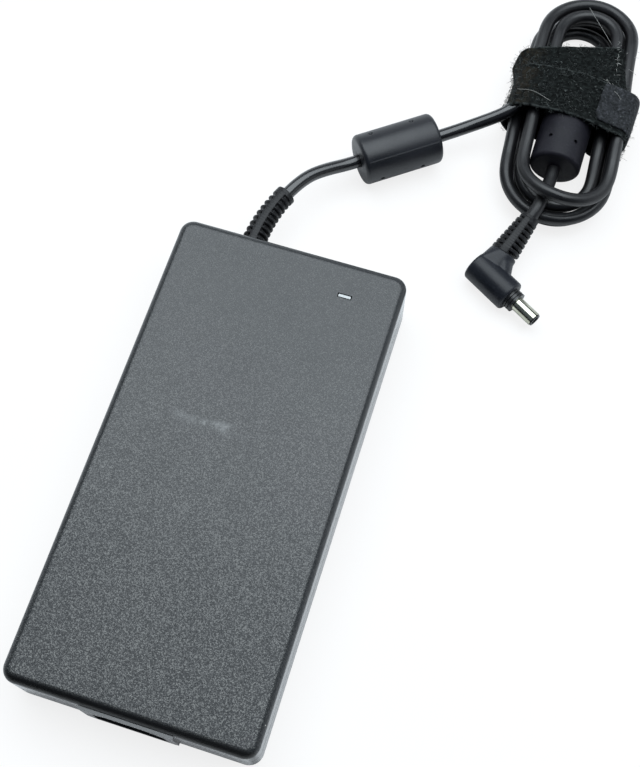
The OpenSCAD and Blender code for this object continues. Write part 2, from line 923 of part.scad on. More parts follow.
module ferrite_core_1() {
  ferrite_core(bead_1_ends[0], bead_1_ends[1]);
}

module bead_overmould_1() {
  bead_overmould(bead_1_ends[0], bead_1_ends[1]);
}

module ferrite_core_2() {
  ferrite_core(bead_2_ends[0], bead_2_ends[1]);
}

module bead_overmould_2() {
  bead_overmould(bead_2_ends[0], bead_2_ends[1]);
}

// ---- Strap --------------------------------------------------------------------------

strap_x0 = 57.9;
strap_x1 = 104.5;
strap_top = 19.6;
strap_lap_y = far_y + 94.6;
strap_under_y = far_y + 109;
strap_under_turn = 10;
strap_under_widen = 1.2;

// Outline round the hank's section: crowned on top, and cut off at that floor
module strap_outline(grow, floor, widen = 0) {
  corner = 4;
  crown = 16;
  intersection() {
    hull() {
      for (x = [strap_x0 - widen + corner, strap_x1 + widen - corner]) {
        translate([x, corner + strap_t]) circle(corner + grow, $fn = 32);
        translate([x, strap_top - corner - 1]) circle(corner + 0.4 + grow, $fn = 32);
      }
      translate([(strap_x0 + strap_x1) / 2, strap_top - crown])
        circle(crown + grow, $fn = 64);
    }
    translate([0, floor]) square([200, 60]);
  }
}

module strap_loop(inside, widen = 0) {
  rotate([90, 0, 0])
    linear_extrude(strap_w, center = true)
      difference() {
        strap_outline(inside + strap_t, 0, widen);
        strap_outline(inside, strap_t, widen);
      }
}

// The tape goes round twice: the first lap lies aslant and the second over its edge
module strap_band() {
  mid = (strap_x0 + strap_x1) / 2;
  color(tape_black) {
    translate([0, strap_lap_y, 0]) strap_loop(strap_t);
    translate([mid, strap_under_y, 0]) rotate([0, 0, strap_under_turn])
      translate([-mid, 0, 0]) strap_loop(0, strap_under_widen);
  }
}

// The tape's free end, laid over the right side
module strap_end_tab() {
  tab_w = 16;
  tab_x = 89.8;
  tab_low = 6;
  color(tape_black)
    translate([0, strap_lap_y - 1, 0]) rotate([90, 0, 0])
      linear_extrude(tab_w, center = true)
        intersection() {
          difference() {
            strap_outline(3 * strap_t, 0);
            strap_outline(2 * strap_t, 0);
          }
          translate([tab_x, tab_low]) square([60, 60]);
        }
}

// ---- Barrel plug --------------------------------------------------------------------

plug_turn = -31;
plug_axis_z = plug_d / 2;
plug_rear = past_wall([62.6, 23.8, plug_axis_z]);
collar_l = 3.2;
collar_r = 4.1;
// How deep the barrel sits in the collar, and its black rim's height and set-in
barrel_seat = 1.2;
barrel_rim = 0.5;
rim_in = 0.3;
// How much thinner the barrel is in its seat, and how far that part stands out
seat_in = 0.25;
seat_out = 0.3;
plug_slots = 8;

// Places its children with +Z out of the plug's front, measured from the rear face
module in_plug(z) {
  translate(plug_rear) rotate([0, 0, plug_turn]) rotate([0, 90, 0])
    translate([0, 0, z]) children();
}

// Tapered relief with a spine above and below and ribs half a step apart on its sides
module plug_strain_relief() {
  r0 = 5.2;
  r1 = 3.5;
  tip = 2;
  slot_w = 1.05;
  room = plug_relief_l - tip;
  step = room / (plug_slots + 0.5);
  color(cord_black)
    between(plug_relief_thick, plug_relief_thin)
      difference() {
        union() {
          cylinder(h = plug_relief_l, r = cord_r + 0.6);
          translate([0, 0, room]) cylinder(h = tip, r = r1);
          for (i = [0:plug_slots]) {
            s = i * step;
            r = r0 + (r1 - r0) * s / plug_relief_l;
            translate([0, 0, s]) linear_extrude(min(step, room - s + eps)) intersection() {
              circle(r);
              square([3 * r0, 2.4], center = true);
            }
            if (i < plug_slots) {
              translate([0, 0, s]) linear_extrude(step - slot_w)
                rotate([0, 0, 90]) half_disc(r, 1);
              translate([0, 0, s + step / 2]) linear_extrude(step - slot_w)
                rotate([0, 0, 90]) half_disc(r, -1);
            }
          }
        }
        translate([0, 0, -1]) cylinder(h = plug_relief_l + 2, r = cord_r);
      }
}

// Moulded body: a cylinder with rounded ends, and a neck in its side that the cord enters
module plug_body() {
  r = plug_d / 2;
  edge = 1;
  neck_r = 5.3;
  color("#26282c") {
    in_plug(0)
      rotate_extrude() {
        translate([0, edge]) square([r, plug_l - 2 * edge]);
        square([r - edge, plug_l]);
        for (z = [edge, plug_l - edge]) translate([r - edge, z]) circle(edge);
      }
    hull() {
      between(plug_relief_thick, plug_relief_thin)
        translate([0, 0, -1]) cylinder(h = 1, r = neck_r, $fn = 32);
      in_plug(neck_r + 0.2) rotate([-90, 0, 0]) translate([0, 0, 2])
        cylinder(h = 1, r = neck_r, $fn = 32);
    }
  }
}

module plug_collar() {
  color(gloss_black)
    in_plug(plug_l)
      difference() {
        rotate_extrude() {
          square([collar_r - 0.7, collar_l]);
          for (z = [0, 1.2, 2.4]) translate([0, z]) square([collar_r, 0.8]);
        }
        translate([0, 0, collar_l - barrel_seat])
          cylinder(h = barrel_seat + 1, r = barrel_d / 2 - seat_in);
      }
}

contact_r = barrel_bore_d / 2;
contact_wall = 0.4;
sleeve_wall = 0.55;
barrel_root = plug_l + collar_l - barrel_seat;
sleeve_l = barrel_seat + barrel_l - barrel_rim;

// Plated sleeve, turned down where it sits in the collar
module barrel_sleeve() {
  shoulder = barrel_seat + seat_out;
  color(tin)
    in_plug(barrel_root)
      difference() {
        union() {
          cylinder(h = shoulder + 1, r = barrel_d / 2 - seat_in);
          translate([0, 0, shoulder]) cylinder(h = sleeve_l - shoulder, r = barrel_d / 2);
        }
        translate([0, 0, -1]) cylinder(h = sleeve_l + 2, r = barrel_d / 2 - sleeve_wall);
      }
}

// Black lining of the barrel, whose rim shows at the tip
module barrel_insulator() {
  color(gloss_black)
    in_plug(barrel_root)
      difference() {
        union() {
          cylinder(h = sleeve_l + barrel_rim, r = barrel_d / 2 - sleeve_wall);
          translate([0, 0, sleeve_l]) cylinder(h = barrel_rim, r = barrel_d / 2 - rim_in);
        }
        translate([0, 0, 1]) cylinder(h = barrel_l + 2, r = contact_r + contact_wall);
      }
}

module centre_contact() {
  color(tin)
    in_plug(barrel_root + 1)
      difference() {
        cylinder(h = barrel_l - 0.6, r = contact_r + contact_wall);
        translate([0, 0, 0.6]) cylinder(h = barrel_l + 2, r = contact_r);
      }
}

echo(hank_least_gap = least_gap, hank_length = path_length(hank_points),
  lead_length = path_length(lead_points), tail_length = path_length(tail_points));

top_cover();
bottom_cover();
led_light_pipe();
status_led();
inlet_housing();
inlet_pin_line();
inlet_pin_neutral();
inlet_pin_earth();
inlet_wires();
main_board();
mains_fuse();
x_capacitor();
y_capacitors();
common_mode_choke_core();
common_mode_choke_windings();
bridge_rectifier();
pfc_choke_core();
pfc_choke_winding();
bulk_capacitors();
primary_heat_sink();
primary_transistors();
transformer_core();
transformer_winding();
secondary_heat_sink();
output_rectifiers();
output_capacitors();
control_board();
optocouplers();
insulating_sheet();
lower_shield();
upper_shield();
thermal_pads();
output_wires();
cord_strain_relief();
cord_entry();
dc_cord_lead();
ferrite_core_1();
bead_overmould_1();
dc_cord_hank();
ferrite_core_2();
bead_overmould_2();
dc_cord_tail();
strap_band();
strap_end_tab();
plug_strain_relief();
plug_body();
plug_collar();
barrel_sleeve();
barrel_insulator();
centre_contact();
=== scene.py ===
import math
import random

import bmesh
import bpy
from mathutils import Matrix, Vector, geometry, noise


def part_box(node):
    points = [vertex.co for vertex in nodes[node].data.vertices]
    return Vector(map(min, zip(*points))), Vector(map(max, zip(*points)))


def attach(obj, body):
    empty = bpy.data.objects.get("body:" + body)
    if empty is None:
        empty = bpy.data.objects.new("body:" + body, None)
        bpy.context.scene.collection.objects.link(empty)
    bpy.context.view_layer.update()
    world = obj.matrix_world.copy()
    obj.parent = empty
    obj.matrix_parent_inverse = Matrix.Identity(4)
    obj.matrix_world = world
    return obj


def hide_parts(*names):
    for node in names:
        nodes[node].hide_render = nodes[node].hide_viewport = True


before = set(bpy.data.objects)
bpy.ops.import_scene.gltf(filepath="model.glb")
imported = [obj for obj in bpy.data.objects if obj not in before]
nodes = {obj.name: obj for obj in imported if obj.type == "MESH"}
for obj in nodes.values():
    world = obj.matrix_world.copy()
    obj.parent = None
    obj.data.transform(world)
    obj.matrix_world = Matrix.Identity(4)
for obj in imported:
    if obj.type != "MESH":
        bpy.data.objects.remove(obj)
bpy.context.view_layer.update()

# ---- Camera -------------------------------------------------------------------------
# A plain lens, above and in front of the inlet end, and turned so that the adapter
# stands aslant in its view.

camera = bpy.data.objects.new("camera", bpy.data.cameras.new("camera"))
bpy.context.scene.collection.objects.link(camera)
camera.data.lens = 56.08
camera.data.sensor_width = 36
camera.data.clip_start = 0.01
to_right = Vector((0.9541, 0.29949, -0.00104))
to_top = Vector((-0.27729, 0.88467, 0.3748))
backward = Vector((0.11317, -0.35731, 0.92711))
camera.matrix_world = Matrix.Translation((0.07023, -0.10766, 0.40516)) @ Matrix(
    (to_right, to_top, backward)).transposed().to_4x4()
bpy.context.scene.camera = camera
bpy.context.scene.view_settings.view_transform = "Standard"


# ---- Table and light ----------------------------------------------------------------
# A white table top under one broad soft lamp. What looks at the table sees it white,
# and it keeps the adapter's shadow.

def put(tree, kind, inputs=None, **settings):
    """One node of a tree, with its settings, and its inputs set or linked."""
    made = tree.nodes.new(kind)
    for name, value in settings.items():
        setattr(made, name, value)
    for name, value in (inputs or {}).items():
        if isinstance(value, bpy.types.NodeSocket):
            tree.links.new(value, made.inputs[name])
        else:
            made.inputs[name].default_value = value
    return made


def maths(tree, operation, *values):
    return put(tree, "ShaderNodeMath", dict(enumerate(values)), operation=operation).outputs[0]


def times(tree, first, second):
    return maths(tree, "MULTIPLY", first, second)


def ramp(tree, value, low, high, to_low=0.0, to_high=1.0):
    return put(tree, "ShaderNodeMapRange",
               {"Value": value, "From Min": low, "From Max": high,
                "To Min": to_low, "To Max": to_high}).outputs[0]


def axes_of(tree, vector):
    return put(tree, "ShaderNodeSeparateXYZ", {"Vector": vector}).outputs


def mix_colour(tree, share, first, second):
    return put(tree, "ShaderNodeMix", {0: share, 6: first, 7: second},
               data_type="RGBA").outputs[2]


def empty_material(name):
    made = bpy.data.materials.new(name)
    made.use_nodes = True
    made.node_tree.nodes.clear()
    return made, made.node_tree


def mesh_of(name, form):
    """The mesh of a form that is ready."""
    mesh = bpy.data.meshes.new(name)
    form.to_mesh(mesh)
    form.free()
    return mesh


def cover(piece, finish):
    piece.data.materials.clear()
    piece.data.materials.append(finish)


def new_piece(name, mesh, finish=None, smooth=True):
    made = bpy.data.objects.new(name, mesh)
    bpy.context.scene.collection.objects.link(made)
    if finish:
        cover(made, finish)
    mesh.polygons.foreach_set("use_smooth", [smooth] * len(mesh.polygons))
    return made


SEEN_WHITE, MIRRORED_WHITE = 0.79, 0.1
table_finish, tree = empty_material("white_table")
rays = put(tree, "ShaderNodeLightPath").outputs
seen = maths(tree, "MAXIMUM", times(tree, rays["Is Camera Ray"], SEEN_WHITE),
             times(tree, rays["Is Glossy Ray"], MIRRORED_WHITE))
paper = put(tree, "ShaderNodeBsdfDiffuse", {"Color": (0.86, 0.86, 0.86, 1)})
glow = put(tree, "ShaderNodeEmission", {"Color": (1, 1, 1, 1), "Strength": 1.03})
mixed = put(tree, "ShaderNodeMixShader",
            {"Fac": seen, 1: paper.outputs[0], 2: glow.outputs[0]})
put(tree, "ShaderNodeOutputMaterial", {"Surface": mixed.outputs[0]})

sheet = bmesh.new()
bmesh.ops.create_grid(sheet, x_segments=2, y_segments=2, size=3.0)
table = new_piece("table_top", mesh_of("table_top", sheet), table_finish, smooth=False)

lamp = bpy.data.objects.new("soft_lamp", bpy.data.lights.new("soft_lamp", "AREA"))
bpy.context.scene.collection.objects.link(lamp)
lamp.data.shape = "RECTANGLE"
lamp.data.size = 1.9
lamp.data.size_y = 1.1
lamp.data.energy = 22.8
lamp.data.color = (0.94, 1.02, 1.07)
lamp.location = (0.05, 0.43, 1.15)
lamp.rotation_euler = (Vector((0.02, 0.06, 0)) - lamp.location).to_track_quat(
    "-Z", "Y").to_euler()

# The room is pale at the horizon, dim overhead, and dark behind the inlet end
room = bpy.data.worlds.new("room")
bpy.context.scene.world = room
room.use_nodes = True
tree = room.node_tree
tree.nodes.clear()
facing = axes_of(tree, put(tree, "ShaderNodeTexCoord").outputs["Generated"])
lit_side = put(tree, "ShaderNodeMapRange",
               {"Value": facing["Y"], "From Min": -0.5, "From Max": 0.1, "To Min": 0.03,
                "To Max": 1.0}, interpolation_type="SMOOTHSTEP").outputs[0]
horizon = mix_colour(tree, lit_side, (0, 0, 0, 1), (0.88, 0.94, 1.0, 1))
walls = mix_colour(tree, ramp(tree, facing["Z"], 0.2, 0.55), horizon, (0.12, 0.14, 0.17, 1))
looking = put(tree, "ShaderNodeLightPath").outputs
shown = mix_colour(tree, looking["Is Camera Ray"], walls, (1, 1, 1, 1))
sky = put(tree, "ShaderNodeBackground", {"Color": shown, "Strength": 1.0})
put(tree, "ShaderNodeOutputWorld", {"Surface": sky.outputs[0]})


# ---- Housing ------------------------------------------------------------------------
# Two moulded shells of dark grey plastic with a fine spark-eroded grain, welded along
# the seam. The grain is rubbed pale in places, and dust sits on the top.


def new_group(name, inputs, outputs):
    """A shader node group with named sockets: values, vectors and colours."""
    kinds = {"value": "NodeSocketFloat", "vector": "NodeSocketVector",
             "colour": "NodeSocketColor"}
    tree = bpy.data.node_groups.new(name, "ShaderNodeTree")
    for label, kind, default in inputs:
        socket = tree.interface.new_socket(label, in_out="INPUT", socket_type=kinds[kind])
        if default is not None:
            socket.default_value = default
    for label, kind in outputs:
        tree.interface.new_socket(label, in_out="OUTPUT", socket_type=kinds[kind])
    return tree, put(tree, "NodeGroupInput").outputs, put(tree, "NodeGroupOutput").inputs


def blobs(tree, vector, scale, detail, roughness):
    return put(tree, "ShaderNodeTexNoise",
               {"Vector": vector, "Scale": scale, "Detail": detail,
                "Roughness": roughness}).outputs["Fac"]


def cloud(tree, vector, size, detail=2.0, roughness=0.5):
    """Noise whose blobs are about that many metres across."""
    return blobs(tree, vector, 0.6 / size, detail, roughness)


def drawn_out(tree, vector, cells, detail, roughness=0.5, turn=(0, 0, 0)):
    """Noise with its own number of cells along each axis."""
    laid = put(tree, "ShaderNodeMapping", {"Vector": vector, "Rotation": turn, "Scale": cells})
    return blobs(tree, laid.outputs[0], 1.0, detail, roughness)


# Grain of a moulded surface: fine pits, slow clouds of tone, and single pale flecks
mould_grain, given, out = new_group(
    "mould_grain",
    [("Vector", "vector", None), ("Pit", "value", 0.0004), ("Cloud", "value", 0.02)],
    [("Height", "value"), ("Tone", "value"), ("Speckle", "value"), ("Fleck", "value")])
tree = mould_grain
fine = blobs(tree, given["Vector"], maths(tree, "DIVIDE", 1.0, given["Pit"]), 3.0, 0.65)
pits = put(tree, "ShaderNodeTexVoronoi",
           {"Vector": given["Vector"], "Scale": maths(tree, "DIVIDE", 0.8, given["Pit"])})
slow = blobs(tree, given["Vector"], maths(tree, "DIVIDE", 0.6, given["Cloud"]), 4.0, 0.6)
relief = maths(tree, "ADD", times(tree, fine, 0.7), times(tree, pits.outputs["Distance"], 0.45))
tree.links.new(relief, out["Height"])
tree.links.new(ramp(tree, slow, 0.3, 0.7), out["Tone"])
tree.links.new(ramp(tree, fine, 0.32, 0.68), out["Speckle"])
tree.links.new(ramp(tree, fine, 0.60, 0.74), out["Fleck"])

# Dust: sparse specks of uneven size that a finger leaves on a dark surface
dust_specks, given, out = new_group(
    "dust_specks",
    [("Vector", "vector", None), ("Spacing", "value", 0.006), ("Share", "value", 0.2)],
    [("Dust", "value")])
tree = dust_specks
cells = put(tree, "ShaderNodeTexVoronoi",
            {"Vector": given["Vector"],
             "Scale": maths(tree, "DIVIDE", 1.0, given["Spacing"])})
lot = put(tree, "ShaderNodeSeparateColor", {"Color": cells.outputs["Color"]}).outputs
chosen = maths(tree, "LESS_THAN", lot["Red"], given["Share"])
reach = ramp(tree, lot["Green"], 0, 1, 0.015, 0.055)
speck = maths(tree, "LESS_THAN", cells.outputs["Distance"], reach)
tree.links.new(times(tree, chosen, speck), out["Dust"])


def surface(tree, height, depth, inputs):
    """The material's own shader, over a bump that is that many metres deep."""
    bump = put(tree, "ShaderNodeBump", {"Height": height, "Strength": 1.0, "Distance": depth})
    shader = put(tree, "ShaderNodeBsdfPrincipled", {**inputs, "Normal": bump.outputs[0]})
    put(tree, "ShaderNodeOutputMaterial", {"Surface": shader.outputs[0]})
    return shader


def plastic(name, dark, pale, rough, pit=0.0004, depth=0.00002, cloud_size=0.02,
            fleck=0.25, coat=0.0, dust=0.0, speckle=0.5, shine=0.5):
    """A moulded plastic or rubber: tone clouds, flecks in its grain, bump and dust."""
    made, tree = empty_material(name)
    at = put(tree, "ShaderNodeTexCoord").outputs["Object"]
    grain = put(tree, "ShaderNodeGroup", {"Vector": at, "Pit": pit, "Cloud": cloud_size},
                node_tree=mould_grain).outputs
    mottle = maths(tree, "ADD", times(tree, grain["Tone"], 1 - speckle),
                   times(tree, grain["Speckle"], speckle))
    colour = mix_colour(tree, mottle, (*dark, 1), (*pale, 1))
    lit = tuple(min(1.0, 2.2 * c + 0.02) for c in pale)
    colour = mix_colour(tree, times(tree, grain["Fleck"], fleck), colour, (*lit, 1))
    roughness = maths(tree, "ADD", ramp(tree, grain["Tone"], 0, 1, rough[0], rough[1]),
                      times(tree, grain["Fleck"], 0.08))
    if dust:
        specks = put(tree, "ShaderNodeGroup", {"Vector": at, "Share": dust},
                     node_tree=dust_specks)
        colour = mix_colour(tree, specks.outputs["Dust"], colour, (0.5, 0.48, 0.44, 1))
    shader = surface(tree, grain["Height"], depth, {
        "Base Color": colour, "Roughness": roughness, "Coat Weight": coat,
        "Coat Roughness": 0.15, "Specular IOR Level": shine})
    return made, tree, shader, at


def dress(name, finish):
    """Gives a CAD node its finish."""
    cover(nodes[name], finish)


shell_finish, tree, shader, at = plastic(
    "shell_plastic", dark=(0.001, 0.0015, 0.002), pale=(0.013, 0.016, 0.019),
    rough=(0.34, 0.46), pit=0.0005, depth=0.00007, cloud_size=0.05, fleck=0.35, dust=0.05,
    speckle=0.8, shine=0.42)
SIDE, END, TOP = 0.0425, 0.086, 0.027
GRAIN_NEAR, GRAIN_FAR = -0.08, 0.06
axes = axes_of(tree, at)
# The walls are smoother than the top, and they mirror the table at a low angle
side_wall = ramp(tree, maths(tree, "ABSOLUTE", axes["X"]), SIDE - 0.0011, SIDE - 0.0003)
end_wall = ramp(tree, maths(tree, "ABSOLUTE", axes["Y"]), END - 0.0011, END - 0.0003)
wall = times(tree, maths(tree, "MAXIMUM", side_wall, end_wall),
             ramp(tree, axes["Z"], TOP - 0.0018, TOP - 0.0030))
flat_top = ramp(tree, axes["Z"], TOP - 0.0008, TOP - 0.0001)
grained = shader.inputs["Roughness"].links[0].from_socket
tree.links.new(times(tree, grained, ramp(tree, wall, 0, 1, 1.0, 0.5)),
               shader.inputs["Roughness"])
# Each pit of the grain has its own gloss, and hands have rubbed the far end finer
pit_gloss = cloud(tree, at, 0.00024, 1.0, 0.6)
coarse = ramp(tree, axes["Y"], GRAIN_NEAR, GRAIN_FAR, 0.85, 0.20)
flash = maths(tree, "SUBTRACT", ramp(tree, pit_gloss, 0.42, 0.58), 0.5)
sparkle = maths(tree, "ADD", ramp(tree, axes["Y"], GRAIN_NEAR, GRAIN_FAR, 0.26, 0.455),
                times(tree, flash, coarse))
# Painted shade: the rounded edge above the inlet faces the dark room in front, so it is painted
# near black and its sparkle is taken down
shaded_front_edge = times(tree, ramp(tree, axes["Y"], 0.0035 - END, 0.0018 - END),
                  times(tree, ramp(tree, axes["Z"], TOP - 0.0045, TOP - 0.0030),
                        maths(tree, "SUBTRACT", 1.0, wall)))
sparkle = times(tree, maths(tree, "MAXIMUM", sparkle, 0.0),
                ramp(tree, shaded_front_edge, 0, 1, 1.0, 0.1))
mirror = times(tree, wall, ramp(tree, end_wall, 0, 1, 0.76, 1.0))
tree.links.new(maths(tree, "MAXIMUM", mirror, sparkle), shader.inputs["Coat Weight"])
shader.inputs["Coat Roughness"].default_value = 0.22


def stripe(value, middle, full, gone):
    """1 within one distance of the middle, and 0 past the farther one."""
    off = maths(tree, "ABSOLUTE", maths(tree, "SUBTRACT", value, middle))
    return maths(tree, "SUBTRACT", 1.0, ramp(tree, off, full, gone))


# Pale rubs: a torn smear across the middle of the top, and hair lines where hands rub it
torn = ramp(tree, cloud(tree, at, 0.0055, 4.0, 0.7), 0.46, 0.64)
smear = times(tree, times(tree, stripe(axes["X"], -0.006, 0.004, 0.018),
                          stripe(axes["Y"], 0.013, 0.0003, 0.0026)),
              times(tree, torn, flat_top))
scratches = drawn_out(tree, at, (900, 14, 20), 1.0, turn=(0, 0, 0.9))
hair_lines = times(tree, ramp(tree, scratches, 0.72, 0.78),
                   ramp(tree, cloud(tree, at, 0.03, 3.0), 0.58, 0.72))
rub = maths(tree, "MAXIMUM", times(tree, smear, 0.42), times(tree, hair_lines, 0.05))
# Painted glints: the glossiest pits of the flat top are painted pale, more of them towards the
# near end, and none on the rounded edge
points = times(tree, ramp(tree, pit_gloss, 0.56, 0.68), times(tree, coarse, flat_top))
colour = shader.inputs["Base Color"].links[0].from_socket
# Both end walls are painted paler below the top's edge: a painted reflection of the table at a
# low angle
for share, shade in ((points, (0.11, 0.112, 0.102, 1)),
                     (times(tree, times(tree, wall, end_wall), 0.6), (0.13, 0.135, 0.13, 1)),
                     (shaded_front_edge, (0.001, 0.001, 0.001, 1)), (rub, (0.30, 0.31, 0.31, 1))):
    colour = mix_colour(tree, share, colour, shade)
tree.links.new(colour, shader.inputs["Base Color"])
dress("top_cover", shell_finish)
dress("bottom_cover", shell_finish)


# ---- Status light window ------------------------------------------------------------
# A clear grey plastic light pipe, pushed up into its slot in the top. A dark line of
# shadow runs round it where it doesn't quite fill the slot.

window_finish, *_ = plastic(
    "window_plastic", dark=(0.46, 0.48, 0.48), pale=(0.58, 0.60, 0.60), rough=(0.25, 0.35),
    pit=0.0003, depth=0.000004, cloud_size=0.002, fleck=0.1, coat=0.3)

MM = 0.001
WINDOW_L, WINDOW_W, WINDOW_H, SUNK = 4.45, 1.05, 4.0, 0.06
low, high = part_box("led_light_pipe")
middle = (Vector(low) + Vector(high)) / 2
block = bmesh.new()
bmesh.ops.create_cube(block, size=1.0)
bmesh.ops.scale(block, vec=Vector((WINDOW_L, WINDOW_W, WINDOW_H)) * MM, verts=block.verts)
upright = [e for e in block.edges if (e.verts[0].co - e.verts[1].co).xy.length < 1e-7]
bmesh.ops.bevel(block, geom=upright, offset=0.12 * MM, segments=3, affect="EDGES")
rim = [e for e in block.edges if min(v.co.z for v in e.verts) > 0.49 * WINDOW_H * MM]
bmesh.ops.bevel(block, geom=rim, offset=0.08 * MM, segments=2, affect="EDGES")
bmesh.ops.translate(block, verts=block.verts, vec=(
    middle.x, middle.y, high[2] - (WINDOW_H / 2 + SUNK) * MM))
window = new_piece("status_window", mesh_of("status_window", block), window_finish,
                   smooth=False)
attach(window, "root")
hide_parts("led_light_pipe")


# ---- Mains inlet --------------------------------------------------------------------
# A moulded gloss-black inlet, snapped in behind the end wall, with three flat pins of
# tinned brass. Mating plugs have left fine scratches on the pins.

gloss_finish, *_ = plastic(
    "gloss_black", dark=(0.008, 0.008, 0.009), pale=(0.013, 0.013, 0.014),
    rough=(0.28, 0.40), pit=0.0009, depth=0.000006, cloud_size=0.006, fleck=0.05, shine=0.2)
dress("barrel_insulator", gloss_finish)
inlet_finish, *_ = plastic(
    "inlet_plastic", dark=(0.006, 0.006, 0.007), pale=(0.011, 0.011, 0.012),
    rough=(0.24, 0.34), pit=0.0009, depth=0.000004, cloud_size=0.006, fleck=0.05, coat=0.9)
dress("inlet_housing", inlet_finish)


# Drawn metal: fine lines along one way, and dull and bright clouds
drawn_lines, given, out = new_group(
    "drawn_lines", [("Vector", "vector", None), ("Lines", "vector", (3000, 200, 3000))],
    [("Streaks", "value"), ("Dull", "value")])
tree = drawn_lines
tree.links.new(drawn_out(tree, given["Vector"], given["Lines"], 3.0), out["Streaks"])
tree.links.new(ramp(tree, cloud(tree, given["Vector"], 0.003, 3.0), 0.35, 0.65), out["Dull"])


def metal(name, dark, pale, rough, lines, depth=0.000004):
    """A metal whose shine changes in clouds, with drawn lines in its bump."""
    made, tree = empty_material(name)
    at = put(tree, "ShaderNodeTexCoord").outputs["Object"]
    grain = put(tree, "ShaderNodeGroup", {"Vector": at, "Lines": lines},
                node_tree=drawn_lines).outputs
    roughness = maths(tree, "ADD", ramp(tree, grain["Dull"], 0, 1, rough[1], rough[0]),
                      ramp(tree, grain["Streaks"], 0.3, 0.7, -0.04, 0.06))
    colour = mix_colour(tree, grain["Dull"], (*dark, 1), (*pale, 1))
    surface(tree, grain["Streaks"], depth,
            {"Base Color": colour, "Metallic": 1.0, "Roughness": roughness})
    return made


tin_finish = metal("tinned_metal", (0.52, 0.52, 0.50), (0.74, 0.74, 0.72), (0.22, 0.42),
                   (3000, 200, 3000))
for name in ("inlet_pin_line", "inlet_pin_neutral", "inlet_pin_earth", "centre_contact",
             "upper_shield", "lower_shield"):
    dress(name, tin_finish)


# ---- Inside the housing -------------------------------------------------------------
# The board with the parts soldered to it, the sheets above and below it and the wires.
# The welded shells hide all of it.

inside = {
    "circuit_lacquer": (("main_board", "control_board"),
                        (0.010, 0.070, 0.028), (0.016, 0.110, 0.045), (0.28, 0.38)),
    "fuse_glaze": (("mains_fuse",), (0.52, 0.48, 0.38), (0.66, 0.62, 0.52), (0.25, 0.4)),
    "yellow_case": (("x_capacitor",), (0.45, 0.26, 0.02), (0.56, 0.34, 0.03), (0.4, 0.5)),
    "blue_dip": (("y_capacitors",), (0.020, 0.075, 0.21), (0.03, 0.10, 0.27), (0.3, 0.4)),
    "ferrite": (("common_mode_choke_core", "pfc_choke_core", "transformer_core",
                 "ferrite_core_1", "ferrite_core_2"),
                (0.030, 0.030, 0.031), (0.052, 0.052, 0.054), (0.6, 0.75)),
    "enamelled_copper": (("common_mode_choke_windings", "pfc_choke_winding"),
                         (0.27, 0.075, 0.02), (0.42, 0.14, 0.04), (0.25, 0.4)),
    "yellow_tape": (("transformer_winding",), (0.5, 0.32, 0.02), (0.62, 0.42, 0.04),
                    (0.35, 0.45)),
    "shrunk_sleeve": (("bulk_capacitors", "output_capacitors"),
                      (0.010, 0.016, 0.036), (0.016, 0.026, 0.055), (0.25, 0.35)),
    "moulded_package": (("bridge_rectifier", "primary_transistors", "output_rectifiers",
                         "optocouplers"), (0.010, 0.010, 0.010), (0.018, 0.018, 0.018),
                        (0.5, 0.65)),
    "insulating_film": (("insulating_sheet",), (0.6, 0.57, 0.46), (0.7, 0.67, 0.55),
                        (0.35, 0.45)),
    "pad_rubber": (("thermal_pads",), (0.17, 0.20, 0.25), (0.22, 0.26, 0.31), (0.7, 0.85)),
    "wire_cover": (("inlet_wires", "output_wires"), (0.02, 0.02, 0.024),
                   (0.035, 0.035, 0.04), (0.4, 0.5)),
    "white_lamp": (("status_led",), (0.62, 0.62, 0.58), (0.72, 0.72, 0.68), (0.3, 0.4)),
}
for name, (dressed, dark, pale, rough) in inside.items():
    finish, *_ = plastic(name, dark, pale, rough, pit=0.0005, cloud_size=0.008)
    for part in dressed:
        dress(part, finish)
sink_finish = metal("mill_aluminium", (0.60, 0.61, 0.62), (0.74, 0.75, 0.76), (0.3, 0.45),
                    (2500, 120, 2500))
dress("primary_heat_sink", sink_finish)
dress("secondary_heat_sink", sink_finish)


# ---- Output cord --------------------------------------------------------------------
# One length of round two-core cord in a smooth black jacket. From the housing's relief
# it runs through the first bead, is wound in and out on three levels, and goes through
# the second bead to the plug.

FAR_WALL = 86.0
CORD_R = 2.5
relief_tip = Vector((-12.683, 112.853, 13.5))
tip_way = Vector((math.sin(math.radians(24)), math.cos(math.radians(24)), 0))
bead_1 = Vector((21.2, FAR_WALL + 61.2, 9.8))
bead_1_way = Vector((math.cos(math.radians(37)), math.sin(math.radians(37)), 0))
plug_relief_thin = Vector((77.6, FAR_WALL + 45.8, 12.2))
plug_relief_thick = Vector((71, FAR_WALL + 28.4, 6.6))
thin_way = (plug_relief_thin - plug_relief_thick).normalized()


def eased(x):
    c = min(max(x, 0.0), 1.0)
    return c * c * (3 - 2 * c)


